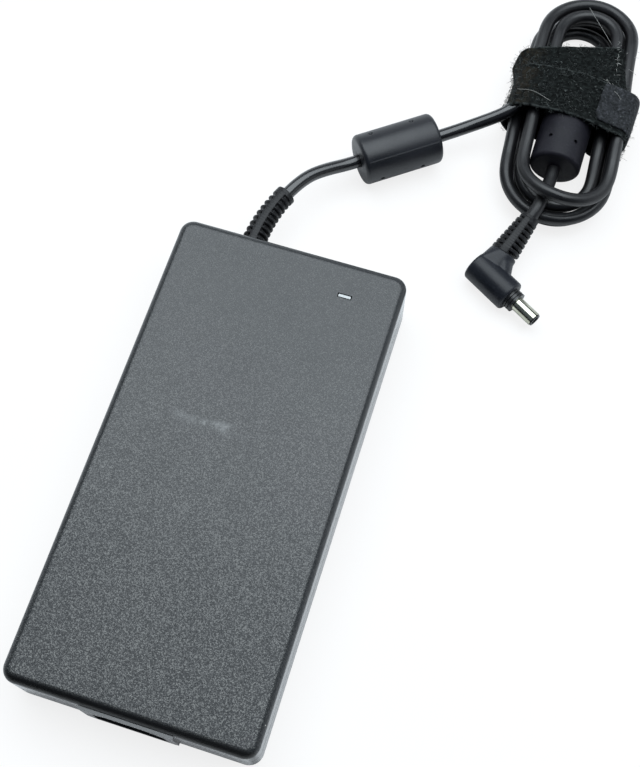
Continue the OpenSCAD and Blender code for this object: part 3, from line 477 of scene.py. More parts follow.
def hank_point(t):
    """The cord's middle in the hank after t turns, in millimetres."""
    half_l, half_w, step, pitch = 50.4, 20.9, 5.7, 5.6
    # A turn is two straight runs, from -1 to 1 and back, and two half circles
    phase = (t + 1 / 12) % 1 - 1 / 12
    if phase < 1 / 12:
        run, turn = phase * 12, 0.0
    elif phase < 5 / 12:
        run, turn = 1.0, (phase - 1 / 12) * 540
    elif phase < 7 / 12:
        run, turn = (0.5 - phase) * 12, 180.0
    else:
        run, turn = -1.0, 180 + (phase - 7 / 12) * 540
    # It winds inwards and out again, and drops a level twice
    k = (t + 0.5) % 3
    turns_in = 1.5 - min(k, 3 - k)
    level = 2 - eased((t - 2.5) * 6 + 0.5) - eased((t - 4) * 6 + 0.5)
    over = level - 1
    # The far end is drawn in, and the top level leans out at both ends
    draw = 2.2 * eased((run + 0.4) / 1.4)
    half = half_w - step * turns_in - draw
    u = run * (half_l - half_w) + math.sin(math.radians(turn)) * half + draw
    v = -math.cos(math.radians(turn)) * half + 0.6 * over * (1 + (u / half_l) ** 2)
    # The strap lifts it, and the tail lifts the top level where it leaves underneath
    strapped = 2.2 * eased(1.8 - abs(u - 6) / 24)
    away = math.hypot(u + 46, v + 2.5) / 17
    crossed = 6.4 * math.exp(-away * away) * eased(over)
    z = CORD_R + pitch * level + strapped + crossed
    c, s = math.cos(math.radians(3)), math.sin(math.radians(3))
    return Vector((82 + v * c - u * s, FAR_WALL + 98.8 + v * s + u * c, z))


def past_wall(x, y, z):
    return Vector((x, FAR_WALL + y, z))


TURNS_FROM, TURNS_TO = 1.02, 5.431
RINGS_A_TURN = 36
lead = [relief_tip - 1.0 * tip_way, relief_tip, relief_tip + 5 * tip_way,
        past_wall(-6.8, 37.8, 13), past_wall(-1.6, 43.3, 11.6)]
lead += [bead_1 + s * bead_1_way for s in (-20.75, -15.75, 0, 15.75, 20.75)]
lead += [past_wall(*p) for p in (
    (45.4, 79.2, 10.6), (51, 82.8, 12), (55.4, 85.6, 13.4), (59, 88.6, 14.8),
    (61.4, 92.8, 15.6), (62.5, 97.6, 15.9), (62.6, 101, 15.9))]
whole_rings = range(math.ceil(TURNS_FROM * RINGS_A_TURN),
                    math.floor(TURNS_TO * RINGS_A_TURN) + 1)
hank = [hank_point(t) for t in (TURNS_FROM, *(k / RINGS_A_TURN for k in whole_rings),
                                TURNS_TO)]
tail = [past_wall(*p) for p in (
    (90.8, 121.4, 4.9), (90.2, 117.2, 5.8), (88, 112.9, 7.7), (85, 109.2, 9.7),
    (82.6, 105.6, 11.4), (81.6, 103, 12.2), (81.5, 100.5, 12.3), (81.25, 84.75, 12.3),
    (81, 69, 12.3), (80.9, 64.6, 12.3), (80.5, 59.6, 13.2), (79.9, 54.4, 14))]
tail += [plug_relief_thin + 5 * thin_way, plug_relief_thin, plug_relief_thin - 1.5 * thin_way]


def through(points, spacing):
    """Even points on a centripetal spline through all the points."""
    ends = [2 * points[0] - points[1]] + points + [2 * points[-1] - points[-2]]
    curve = [points[0]]
    for a, b, c, d in zip(ends, ends[1:], ends[2:], ends[3:]):
        t1 = math.sqrt((b - a).length)
        t2 = t1 + math.sqrt((c - b).length)
        t3 = t2 + math.sqrt((d - c).length)
        pieces = max(2, int((c - b).length / (spacing / 3)))
        for k in range(1, pieces + 1):
            t = t1 + (t2 - t1) * k / pieces
            p = a * (t1 - t) / t1 + b * t / t1
            q = b * (t2 - t) / (t2 - t1) + c * (t - t1) / (t2 - t1)
            r = c * (t3 - t) / (t3 - t2) + d * (t - t2) / (t3 - t2)
            p, q = (p * (t2 - t) + q * t) / t2, (q * (t3 - t) + r * (t - t1)) / (t3 - t1)
            curve.append((p * (t2 - t) + q * (t - t1)) / (t2 - t1))
    steps = [0.0]
    for p, q in zip(curve, curve[1:]):
        steps.append(steps[-1] + (q - p).length)
    count = round(steps[-1] / spacing)
    even, at_step = [], 0
    for k in range(count + 1):
        want = steps[-1] * k / count
        while at_step < len(steps) - 2 and steps[at_step + 1] < want:
            at_step += 1
        share = (want - steps[at_step]) / (steps[at_step + 1] - steps[at_step])
        even.append(curve[at_step].lerp(curve[at_step + 1], min(share, 1.0)))
    return even


route = through(lead + hank + tail, 1.5)
for _ in range(3):
    route = [route[0]] + [(p + 2 * q + r) / 4 for p, q, r in
                          zip(route, route[1:], route[2:])] + [route[-1]]


def ring_round(middle, side, up, radius, count):
    return [middle + radius * (math.cos(2 * math.pi * k / count) * side
                               + math.sin(2 * math.pi * k / count) * up)
            for k in range(count)]


def skinned(form, rows, closed=True):
    """Faces from row to row: each of their corners, with its column and row."""
    corners = []
    for i, (row, after) in enumerate(zip(rows, rows[1:])):
        for k in range(len(row) if closed else len(row) - 1):
            n = (k + 1) % len(row)
            face = form.faces.new((row[k], row[n], after[n], after[k]))
            corners += zip(face.loops, ((k, i), (k + 1, i), (k + 1, i + 1), (k, i + 1)))
    return corners


def swept_tube(name, points, radius, sides):
    """A closed tube in metres along points in millimetres, its UV being (turn, metres)."""
    tube = bmesh.new()
    uv = tube.loops.layers.uv.new("along")
    way = (points[1] - points[0]).normalized()
    side = way.cross(Vector((0, 0, 1))).normalized()
    rings, run, gone = [], [], 0.0
    for i, point in enumerate(points):
        new_way = (points[min(i + 1, len(points) - 1)] - points[max(i - 1, 0)]).normalized()
        side = (way.rotation_difference(new_way) @ side).normalized()
        way = new_way
        if i:
            gone += (point - points[i - 1]).length * MM
        run.append(gone)
        rings.append([tube.verts.new(p * MM) for p in ring_round(
            point, side, way.cross(side), radius, sides)])
    for loop, (k, i) in skinned(tube, rings):
        loop[uv].uv = (k / sides, run[i])
    tube.faces.new(list(reversed(rings[0])))
    tube.faces.new(rings[-1])
    bmesh.ops.recalc_face_normals(tube, faces=tube.faces)
    return mesh_of(name, tube)


# The jacket: satin black, with drawn lines along it and a dulled cloud here and there
cord_finish, tree, shader, at = plastic(
    "cord_jacket", dark=(0.003, 0.003, 0.004), pale=(0.007, 0.007, 0.008),
    rough=(0.18, 0.30), pit=0.0010, depth=0.000012, cloud_size=0.012, fleck=0.12)
lie = put(tree, "ShaderNodeUVMap", uv_map="along").outputs[0]
lines = drawn_out(tree, lie, (30, 60, 1), 3.0)
# Handling has dulled the hank, and the lead has kept its gloss
handled = ramp(tree, axes_of(tree, lie)["Y"], 0.100, 0.125)
dulled = times(tree, handled,
               ramp(tree, cloud(tree, at, 0.006, 3.0), 0.3, 0.7, 0.08, 0.20))
was = shader.inputs["Roughness"].links[0].from_socket
tree.links.new(maths(tree, "ADD", maths(tree, "ADD", was, dulled),
                     ramp(tree, lines, 0.3, 0.7, -0.05, 0.07)), shader.inputs["Roughness"])
tree.links.new(ramp(tree, handled, 0, 1, 0.55, 0.0), shader.inputs["Coat Weight"])
dress("cord_entry", cord_finish)

cord = new_piece("output_cord", swept_tube("output_cord", route, CORD_R, sides=18),
                 cord_finish)
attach(cord, "root")
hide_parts("dc_cord_lead", "dc_cord_hank", "dc_cord_tail")


# ---- Strain reliefs -----------------------------------------------------------------
# Soft black mouldings round the cord, at the housing and at the plug. Ribs stand on
# both sides by turns, so that the relief bends, and a spine joins them above and below.

def slab(outline, thick):
    """A flat outline given its thickness, with its middle at 0."""
    form = bmesh.new()
    face = form.faces.new([form.verts.new((x, y, -thick / 2)) for x, y in outline])
    top = bmesh.ops.extrude_face_region(form, geom=[face])["geom"]
    bmesh.ops.translate(form, vec=(0, 0, thick),
                        verts=[v for v in top if isinstance(v, bmesh.types.BMVert)])
    bmesh.ops.recalc_face_normals(form, faces=form.faces)
    return form


def half_rib(radius, thick, rounding):
    """A half disc with rounded rim, flat on its Y-Z side, lying across Z."""
    rib = slab([(radius * math.sin(math.pi * k / 24), -radius * math.cos(math.pi * k / 24))
                for k in range(25)], thick)
    curved = [e for e in rib.edges
              if abs(e.verts[0].co.z - e.verts[1].co.z) < 1e-9
              and max(abs(v.co.x) for v in e.verts) > 1e-6]
    bmesh.ops.bevel(rib, geom=curved, offset=rounding, segments=2, affect="EDGES")
    return new_piece("half_rib", mesh_of("half_rib", rib))


def spine_block(width, radius, long):
    """A block across the cord whose ends follow the ribs' rim."""
    edge = math.asin(width / 2 / radius)
    outline = [(radius * math.sin(a), radius * math.cos(a))
               for a in (edge * (k / 4 - 1) for k in range(9))]
    outline += [(-x, -y) for x, y in outline]
    return new_piece("spine_block", mesh_of("spine_block", slab(outline, long)))


def geometry_tree(name, inputs, output):
    tree = bpy.data.node_groups.new(name, "GeometryNodeTree")
    for label, kind in inputs:
        tree.interface.new_socket(label, in_out="INPUT", socket_type="NodeSocket" + kind)
    tree.interface.new_socket(output, in_out="OUTPUT", socket_type="NodeSocketGeometry")
    return tree, put(tree, "NodeGroupInput").outputs


def turned_about(tree, axis, angle):
    return put(tree, "FunctionNodeAxisAngleToRotation",
               {"Axis": axis, "Angle": angle}).outputs[0]


def turned_by(tree, rotation, more):
    return put(tree, "FunctionNodeRotateRotation", {"Rotation": rotation, "Rotate By": more},
               rotation_space="LOCAL").outputs[0]


def planted(tree, points, thing, rotation, size):
    """A copy of an object on every point."""
    source = put(tree, "GeometryNodeObjectInfo", {"Object": thing}).outputs["Geometry"]
    return put(tree, "GeometryNodeInstanceOnPoints",
               {"Points": points, "Instance": source, "Rotation": rotation,
                "Scale": size}).outputs[0]


def end_tree(tree, geometry, finish, output):
    real = put(tree, "GeometryNodeRealizeInstances", {"Geometry": geometry})
    done = put(tree, "GeometryNodeSetMaterial",
               {"Geometry": real.outputs[0], "Material": finish})
    put(tree, "NodeGroupOutput", {output: done.outputs[0]})


def relief_tree():
    """Sleeve, ribs, spine, root and tip ring along a path of edges."""
    tree, given = geometry_tree("slotted_relief", (
        ("Path", "Geometry"), ("Rib", "Object"), ("Spine", "Object"), ("Ribs", "Int"),
        ("Ribbed from", "Float"), ("Ribbed to", "Float"), ("Sleeve radius", "Float"),
        ("Root radius", "Float"), ("Root length", "Float"), ("Tip radius", "Float"),
        ("Taper", "Float"), ("Finish", "Material")), "Relief")
    path = put(tree, "GeometryNodeMeshToCurve", {"Mesh": given["Path"]}).outputs[0]
    whole = put(tree, "GeometryNodeCurveLength", {"Curve": path}).outputs[0]

    def stretch_of(start, end):
        return put(tree, "GeometryNodeTrimCurve", {"Curve": path, 4: start, 5: end},
                   mode="LENGTH").outputs[0]

    def round_bar(curve, radius):
        ring = put(tree, "GeometryNodeCurvePrimitiveCircle",
                   {"Resolution": 40, "Radius": radius}).outputs[0]
        fine = put(tree, "GeometryNodeResampleCurve", {"Curve": curve, "Count": 40})
        return put(tree, "GeometryNodeCurveToMesh",
                   {"Curve": fine.outputs[0], "Profile Curve": ring,
                    "Fill Caps": True}).outputs[0]

    ribbed = put(tree, "GeometryNodeResampleCurve",
                 {"Curve": stretch_of(given["Ribbed from"], given["Ribbed to"]),
                  "Count": given["Ribs"]}).outputs[0]
    number = put(tree, "GeometryNodeInputIndex").outputs[0]
    last = maths(tree, "SUBTRACT", given["Ribs"], 1.0)
    narrowing = ramp(tree, maths(tree, "DIVIDE", number, last), 0.0, 1.0, 1.0,
                     given["Taper"])
    size = put(tree, "ShaderNodeCombineXYZ",
               {"X": narrowing, "Y": narrowing, "Z": 1.0}).outputs[0]
    way = put(tree, "GeometryNodeInputTangent").outputs[0]
    faced = put(tree, "FunctionNodeAlignRotationToVector", {"Vector": way}, axis="Z")
    level = put(tree, "FunctionNodeAlignRotationToVector",
                {"Rotation": faced.outputs[0], "Vector": (0, 0, 1)}, axis="Y",
                pivot_axis="Z").outputs[0]
    side = times(tree, maths(tree, "MODULO", number, 2.0), math.pi)
    by_turns = turned_by(tree, level, turned_about(tree, (0, 0, 1), side))
    joined = put(tree, "GeometryNodeJoinGeometry")
    for part in (planted(tree, ribbed, given["Rib"], by_turns, size),
                 planted(tree, ribbed, given["Spine"], level, size),
                 round_bar(path, given["Sleeve radius"]),
                 round_bar(stretch_of(0.0, given["Root length"]), given["Root radius"]),
                 round_bar(stretch_of(maths(tree, "SUBTRACT", whole, 2.1 * MM), whole),
                           given["Tip radius"])):
        tree.links.new(part, joined.inputs[0])
    end_tree(tree, joined.outputs[0], given["Finish"], "Relief")
    return tree


def set_inputs(modifier, values):
    for item in modifier.node_group.interface.items_tree:
        if item.in_out == "INPUT" and item.name in values:
            modifier[item.identifier] = values[item.name]


def settled(piece):
    """Turns the piece into its evaluated mesh, smooth and without modifiers."""
    depsgraph = bpy.context.evaluated_depsgraph_get()
    mesh = bpy.data.meshes.new_from_object(piece.evaluated_get(depsgraph))
    piece.modifiers.clear()
    piece.data = mesh
    mesh.polygons.foreach_set("use_smooth", [True] * len(mesh.polygons))
    return mesh


def moulded_as_one(piece, finish, voxel, passes):
    """Melts lapping solids into one skin, with its edges rounded by smoothing."""
    melt = piece.modifiers.new("melt", "REMESH")
    melt.mode = "VOXEL"
    melt.voxel_size = voxel
    soften = piece.modifiers.new("soften", "SMOOTH")
    soften.factor = 0.5
    soften.iterations = passes
    settled(piece)
    cover(piece, finish)


def strain_relief(name, path, finish, rib, spine, **sizes):
    mesh = bpy.data.meshes.new(name)
    mesh.from_pydata([p * MM for p in path], [(i, i + 1) for i in range(len(path) - 1)], [])
    piece = new_piece(name, mesh)
    follow = piece.modifiers.new("relief", "NODES")
    follow.node_group = slotted_relief
    values = {label.replace("_", " ").capitalize(): value for label, value in sizes.items()}
    set_inputs(follow, {**values, "Rib": rib, "Spine": spine, "Finish": finish})
    settled(piece)
    for helper in (rib, spine):
        bpy.data.objects.remove(helper)
    moulded_as_one(piece, finish, voxel=0.00017, passes=2)
    return piece


slotted_relief = relief_tree()
relief_finish, *_ = plastic(
    "relief_rubber", dark=(0.005, 0.005, 0.006), pale=(0.011, 0.011, 0.012),
    rough=(0.34, 0.48), shine=0.3, pit=0.0007, depth=0.000012, cloud_size=0.006, fleck=0.15)

# The housing's relief starts inside the wall and bends to the right
BEND_R, BEND, EXIT_X, SEAM_Z = 60.0, math.radians(24), -18, 13.5
bend_path = [Vector((EXIT_X, 83.6 + 0.7 * k, SEAM_Z)) for k in range(8)]
bend_path += [Vector((EXIT_X + BEND_R * (1 - math.cos(a)), 88.5 + BEND_R * math.sin(a),
                      SEAM_Z)) for a in (BEND * k / 40 for k in range(41))]
housing_relief = strain_relief(
    "housing_relief", bend_path, relief_finish,
    half_rib(4.8 * MM, 1.15 * MM, 0.3 * MM), spine_block(2.8 * MM, 4.86 * MM, 2.2 * MM),
    ribs=19, ribbed_from=5.6 * MM, ribbed_to=27.4 * MM, sleeve_radius=3.3 * MM,
    root_radius=5.0 * MM, root_length=4.9 * MM, tip_radius=4.05 * MM, taper=0.85)
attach(housing_relief, "root")
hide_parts("cord_strain_relief")

plug_path = [plug_relief_thick.lerp(plug_relief_thin, k / 20) for k in range(21)]
plug_relief = strain_relief(
    "plug_relief", plug_path, relief_finish,
    half_rib(5.5 * MM, 1.5 * MM, 0.18 * MM), spine_block(3.2 * MM, 5.52 * MM, 2.4 * MM),
    ribs=14, ribbed_from=3.2 * MM, ribbed_to=16.9 * MM, sleeve_radius=3.0 * MM,
    root_radius=5.3 * MM, root_length=2.4 * MM, tip_radius=3.7 * MM, taper=0.73)
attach(plug_relief, "root")
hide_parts("plug_strain_relief")


# ---- Suppressor beads ---------------------------------------------------------------
# Ferrite cores in a moulded skin of satin dark plastic, with the dimples of the mould's
# core pins and a parting line along each side.

bead_finish, *_ = plastic(
    "bead_plastic", dark=(0.004, 0.005, 0.007), pale=(0.011, 0.012, 0.017),
    rough=(0.32, 0.46), pit=0.0008, depth=0.000018, cloud_size=0.012, fleck=0.2,
    dust=0.12)
dress("bead_overmould_1", bead_finish)
# The second bead is scuffed dull by the cord round it
scuffed_finish, *_ = plastic(
    "scuffed_bead", dark=(0.004, 0.004, 0.007), pale=(0.012, 0.011, 0.017),
    rough=(0.46, 0.62), shine=0.26, pit=0.0008, depth=0.000018, cloud_size=0.006, fleck=0.3,
    dust=0.2)
dress("bead_overmould_2", scuffed_finish)

# The first bead lies rolled over, so that its parting line shows as a thin flash. Three
# rows of holes, where pins held the core, run round it. Turns are in degrees from the top.
BEAD_R, BEAD_L, BEAD_EDGE, BORE_R = 9.75, 31.5, 1.7, 2.45
PARTING, FLASH = -45, 0.11
PIN_ROWS, PINS_ALONG, PIN_R, PIN_DEPTH = (30, -98, 146), (-9.5, 7.1), 0.8, 1.5
COLUMNS, ROWS = 240, 110


def rounded_end(radius, edge, steps):
    """Radius and height along the rounded edge at an end of a round piece."""
    return [(radius - edge + edge * math.sin(a), edge - edge * math.cos(a))
            for a in (math.pi / 2 * k / steps for k in range(steps + 1))]


profile = [(BORE_R, 0.3), (2.9, 0.0), (4.6, 0.0), (6.4, 0.0)]
profile += rounded_end(BEAD_R, BEAD_EDGE, 7)
far_profile = [(r, BEAD_L - z) for r, z in reversed(profile)]
profile += [(BEAD_R, BEAD_EDGE + (BEAD_L - 2 * BEAD_EDGE) * k / ROWS)
            for k in range(1, ROWS)]
profile += far_profile
bead_side = Vector((-bead_1_way.y, bead_1_way.x, 0))
up = Vector((0, 0, 1))
skin = bmesh.new()
rings = []
for r, z in profile:
    ring = []
    for k in range(COLUMNS):
        turn = PARTING + 360 * k / COLUMNS
        wide = r
        if r > BEAD_R - 0.01:
            wide += FLASH if k % (COLUMNS // 2) < 2 else 0.0
            for row in PIN_ROWS:
                off = math.radians((turn - row + 180) % 360 - 180) * BEAD_R
                near = min(math.hypot(off, z - BEAD_L / 2 - pin) for pin in PINS_ALONG)
                wide -= PIN_DEPTH * math.sqrt(max(0.0, 1 - (near / PIN_R) ** 4))
        a = math.radians(turn)
        ring.append(skin.verts.new((bead_1 + (z - BEAD_L / 2) * bead_1_way + wide * (
            math.cos(a) * up + math.sin(a) * bead_side)) * MM))
    rings.append(ring)
skinned(skin, rings + rings[:1])
bmesh.ops.recalc_face_normals(skin, faces=skin.faces)
bead = new_piece("bead_moulding", mesh_of("bead_moulding", skin), bead_finish)
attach(bead, "root")
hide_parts("bead_overmould_1")


# ---- Barrel plug --------------------------------------------------------------------
# A moulded body with a neck in its side for the cord, a ribbed collar, and the bright
# plated barrel with its black lining.

plug_rear = Vector((62.6, FAR_WALL + 23.8, 6.1))
plug_way = Vector((math.cos(math.radians(-31)), math.sin(math.radians(-31)), 0))
plug_side = Vector((-plug_way.y, plug_way.x, 0))
plug_finish, *_ = plastic(
    "plug_plastic", dark=(0.006, 0.007, 0.010), pale=(0.014, 0.016, 0.022),
    rough=(0.32, 0.44), shine=0.32, pit=0.0008, depth=0.000014, cloud_size=0.009,
    fleck=0.18, dust=0.08)


def ring_of(middle, normal, radius, count=40):
    across = normal.cross(Vector((0, 0, 1))).normalized()
    return ring_round(middle, across, normal.cross(across), radius, count)


PLUG_R, PLUG_L, PLUG_EDGE, AROUND = 6.1, 18.7, 1.0, 64
corner = rounded_end(PLUG_R, PLUG_EDGE, 6)
profile = corner + [(r, PLUG_L - z) for r, z in reversed(corner)]
body = bmesh.new()
rings = [[body.verts.new(p * MM)
          for p in ring_of(plug_rear + z * plug_way, plug_way, r, AROUND)]
         for r, z in profile]
skinned(body, rings)
body.faces.new(rings[0])
body.faces.new(rings[-1])
# The neck, and the web that fills the inside of the elbow
for rings_of_neck in (
        ((plug_relief_thick + 2.2 * thin_way, thin_way, 5.45),
         (plug_relief_thick - 1.0 * thin_way, thin_way, 5.55),
         (plug_rear + 0.5 * plug_way, plug_way, 5.6),
         (plug_rear + 5.5 * plug_way + 2.5 * plug_side, plug_side, 5.3)),
        ((plug_relief_thick + 1.2 * thin_way, thin_way, 5.2),
         (plug_rear + 7.4 * plug_way + 6.6 * plug_side, plug_side, 4.9),
         (plug_rear + 10.6 * plug_way + 3.0 * plug_side, plug_side, 4.4))):
    neck = bmesh.new()
    for middle, normal, radius in rings_of_neck:
        for p in ring_of(middle, normal, radius):
            neck.verts.new(p * MM)
    hull = bmesh.ops.convex_hull(neck, input=neck.verts)
    bmesh.ops.delete(neck, geom=[v for v in hull["geom_interior"]
                                 if isinstance(v, bmesh.types.BMVert)], context="VERTS")
    neck_mesh = mesh_of("plug_neck", neck)
    body.from_mesh(neck_mesh)
    bpy.data.meshes.remove(neck_mesh)
bmesh.ops.recalc_face_normals(body, faces=body.faces)
plug = new_piece("plug_moulding", mesh_of("plug_moulding", body))
moulded_as_one(plug, plug_finish, voxel=0.00022, passes=12)
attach(plug, "root")
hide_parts("plug_body")

collar_finish, *_ = plastic(
    "collar_black", dark=(0.009, 0.009, 0.010), pale=(0.014, 0.014, 0.016),
    rough=(0.28, 0.38), pit=0.0004, depth=0.000008, cloud_size=0.004, fleck=0.1)
dress("plug_collar", collar_finish)
dress("barrel_sleeve", metal("nickel_plate", (0.41, 0.41, 0.33), (0.60, 0.60, 0.50),
                             (0.10, 0.22), (120, 120, 120), depth=0.000002))


# ---- Strap --------------------------------------------------------------------------
# One length of black hook-and-loop tape, wound twice. The first lap holds the inner
# turns and dives inside the outermost one, and the second goes round all, over the
# first one's edge, with its stiffer end pressed down on the right.

TAPE_W, TAPE_T, HANK_X = 20.0, 1.15, 81.2


def lap_outline(circles):
    """Closed line round circles across the hank, from the middle of its underside."""
    points = [(x + r * math.cos(math.pi * k / 30), z + r * math.sin(math.pi * k / 30))
              for x, z, r in circles for k in range(60)]
    hull = [Vector(points[i]) for i in geometry.convex_hull_2d(points)]
    start = min(range(len(hull)), key=lambda i: (hull[i] - Vector((HANK_X, -60))).length)
    hull = hull[start:] + hull[:start] + [hull[start]]
    gone = [0.0]
    for p, q in zip(hull, hull[1:]):
        gone.append(gone[-1] + (q - p).length)

    def at(share):
        want = gone[-1] * (share % 1.0)
        i = max(k for k in range(len(gone) - 1) if gone[k] <= want)
        return hull[i].lerp(hull[i + 1], (want - gone[i]) / (gone[i + 1] - gone[i]))
    return at


def tape_mesh(name, middles, across, half_widths, waviness=1.0):
    """A tape's face along its middle line, its UV in metres."""
    tape = bmesh.new()
    uv = tape.loops.layers.uv.new("along")
    cells = 24
    rows, gone = [], [0.0]
    for i, (middle, way, half) in enumerate(zip(middles, across, half_widths)):
        if i:
            gone.append(gone[-1] + (middle - middles[i - 1]).length)
        ahead = (middles[min(i + 1, len(middles) - 1)] - middles[max(i - 1, 0)]).normalized()
        out = ahead.cross(way).normalized()
        row = []
        for k in range(cells + 1):
            s = 2 * k / cells - 1
            wave = noise.noise(Vector((gone[-1] / 9, s * 1.3, 3.1))) * 0.4 * waviness
            # The table presses it flat under the hank
            wave *= min(1.0, max(0.0, middle.z - 1.5) / 4)
            edge = noise.noise(Vector((gone[-1] / 5, math.copysign(2, s), 7.7))) * 0.5
            fray = noise.noise(Vector((gone[-1] / 1.1, math.copysign(3, s), 1.7))) * 0.25
            row.append(tape.verts.new((middle + way * (
                s * half + waviness * (edge + fray) * abs(s) ** 6)
                + out * (wave * s * s - 0.25 * s ** 6)) * MM))
        rows.append(row)
    for loop, (k, i) in skinned(tape, rows, closed=False):
        loop[uv].uv = ((k / cells - 0.5) * TAPE_W * MM, gone[i] * MM)
    return mesh_of(name, tape)


def thickened(piece, thick):
    solid = piece.modifiers.new("thick", "SOLIDIFY")
    solid.thickness = thick * MM
    solid.offset = 0
    soft = piece.modifiers.new("soft", "SUBSURF")
    soft.levels = soft.render_levels = 1
    mesh = settled(piece)
    turned = bmesh.new()
    turned.from_mesh(mesh)
    bmesh.ops.recalc_face_normals(turned, faces=turned.faces)
    turned.to_mesh(mesh)
    turned.free()


LAP_Y = (FAR_WALL + 111.8, FAR_WALL + 97.2)
LAP_TURN = (math.radians(17), math.radians(-3))
UNDERSIDE = (1.85, 0.75)
inner = lap_outline([(62.4, 6.6, 4.4), (64.2, 14.6, 4.8), (94.3, 15.6, 3.4),
                     (94.3, 5.2, 3.4), (HANK_X, 3.9, 16.0)])
outer = lap_outline([(61.9, 6.6, 4.9), (63.8, 14.6, 5.5), (99.8, 14.6, 4.6),
                     (99.8, 6.2, 4.6), (HANK_X, 3.6, 17.8), (HANK_X, 12.4, 10.5)])
STEPS = 300
middles, across = [], []
for i in range(STEPS + 1):
    lap = 2 * i / STEPS
    # The tape crosses over from the first lap to the second under the hank
    passing = eased((lap - 0.88) / 0.24)
    x, z = inner(lap).lerp(outer(lap), passing)
    y, turn, lowest = (first * (1 - passing) + second * passing
                       for first, second in (LAP_Y, LAP_TURN, UNDERSIDE))
    z = max(z, lowest)
    middles.append(Vector((x, y + (x - HANK_X) * math.tan(turn), z)))
    across.append(Vector((-math.sin(turn), math.cos(turn), 0)))
strap = new_piece("hook_loop_tape", tape_mesh("hook_loop_tape", middles, across,
                                              [TAPE_W / 2] * (STEPS + 1)))
thickened(strap, TAPE_T)

# The tape's face: loops in a knitted ground, brown dust on the left, a painted highlight along
# both edges, pale lint
strap_finish, tree = empty_material("loop_tape")
lie = put(tree, "ShaderNodeUVMap", uv_map="along").outputs[0]
at = put(tree, "ShaderNodeTexCoord").outputs["Object"]
loops = drawn_out(tree, lie, (900, 520, 1), 4.0, 0.7)
tufts = cloud(tree, at, 0.0016, 4.0, 0.7)
colour = mix_colour(tree, ramp(tree, loops, 0.42, 0.72), (0.001, 0.0015, 0.0015, 1),
                    (0.018, 0.022, 0.021, 1))
brown = times(tree, ramp(tree, axes_of(tree, at)["X"], 0.068, 0.059),
              ramp(tree, tufts, 0.45, 0.6))
colour = mix_colour(tree, times(tree, brown, 0.45), colour, (0.045, 0.034, 0.022, 1))
# Painted highlight: the loops along both edges of the tape are painted paler
from_middle = maths(tree, "ABSOLUTE", axes_of(tree, lie)["X"])
painted_edge_highlight = times(tree, ramp(tree, from_middle, 0.0092, 0.0099),
               ramp(tree, loops, 0.40, 0.55))
colour = mix_colour(tree, painted_edge_highlight, colour, (0.060, 0.068, 0.066, 1))
lint = ramp(tree, cloud(tree, at, 0.0006, 2.0), 0.70, 0.76)
colour = mix_colour(tree, times(tree, lint, 0.6), colour, (0.24, 0.25, 0.24, 1))
height = maths(tree, "ADD", times(tree, loops, 0.5), tufts)
surface(tree, height, 0.0006,
        {"Base Color": colour, "Roughness": ramp(tree, tufts, 0.3, 0.7, 0.8, 0.97),
         "Specular IOR Level": 0.12})
cover(strap, strap_finish)

# The stiffer end of the tape, its corners rounded off
END_W, END_FROM, END_LOW, END_CORNER, ASLANT = 17.6, 90.4, 5.5, 2.6, 0.05
SAMPLES, END_STEPS = 900, 60
outside = lap_outline([(61.9, 6.6, 6.0), (61.9, 14.6, 6.4), (99.8, 14.6, 5.7),
                       (99.8, 6.2, 5.7), (HANK_X, 3.6, 18.9), (HANK_X, 12.4, 11.6)])
samples = [outside(k / SAMPLES) for k in range(SAMPLES)]
samples = [s for s in samples if s.x >= END_FROM and s.y >= END_LOW]
samples.sort(key=lambda s: -math.atan2(s.y - 8, s.x - HANK_X))
middles, across, halves = [], [], []
run = sum((q - p).length for p, q in zip(samples, samples[1:]))
for i in range(END_STEPS + 1):
    s = samples[round(i * (len(samples) - 1) / END_STEPS)]
    near_end = min(i, END_STEPS - i) * run / END_STEPS
    short = max(0.0, END_CORNER - near_end)
    halves.append(END_W / 2 - END_CORNER + math.sqrt(END_CORNER ** 2 - short ** 2))
    middles.append(Vector((s.x, FAR_WALL + 97.4 - ASLANT * (s.x - 96), s.y)))
    across.append(Vector((ASLANT, 1, 0)).normalized())
tab = new_piece("tape_end_tab", tape_mesh("tape_end_tab", middles, across, halves, 0.4))
thickened(tab, 1.1)
tab_finish, *_ = plastic(
    "hook_tape", dark=(0.001, 0.002, 0.002), pale=(0.036, 0.038, 0.043),
    rough=(0.6, 0.75), pit=0.0010, depth=0.0003, cloud_size=0.004, fleck=0.8, dust=0.2,
    speckle=0.95, shine=0.15)
cover(tab, tab_finish)

# Loose loops and lint that stand off the tape
fuzz, given = geometry_tree("tape_fuzz", (
    ("Tape", "Geometry"), ("Fibre", "Object"), ("Density", "Float"), ("Lean", "Float"),
    ("Finish", "Material")), "Fuzz")
tree = fuzz


def random_number(seed, low, high):
    return put(tree, "FunctionNodeRandomValue", {"Seed": seed, 2: low, 3: high},
               data_type="FLOAT").outputs[1]


place = put(tree, "GeometryNodeInputPosition").outputs[0]
above_table = maths(tree, "GREATER_THAN", axes_of(tree, place)["Z"], 2.5 * MM)
roots = put(tree, "GeometryNodeDistributePointsOnFaces",
            {"Mesh": given["Tape"], "Selection": above_table,
             "Density": given["Density"], "Seed": 11}).outputs
spun = turned_about(tree, (0, 0, 1), random_number(4, 0.0, 2 * math.pi))
tilted = turned_about(tree, (1, 0, 0), random_number(3, 0.0, given["Lean"]))
standing = turned_by(tree, roots["Rotation"], turned_by(tree, spun, tilted))
stood = planted(tree, roots["Points"], given["Fibre"], standing, random_number(5, 0.5, 1.5))
end_tree(tree, stood, given["Finish"], "Fuzz")

fuzz_finish, *_ = plastic("loop_fibres", dark=(0.001, 0.0015, 0.0015),
                          pale=(0.12, 0.135, 0.13), rough=(0.5, 0.6), pit=0.0020,
                          cloud_size=0.0045, fleck=0.9, speckle=0.6, shine=0.2)


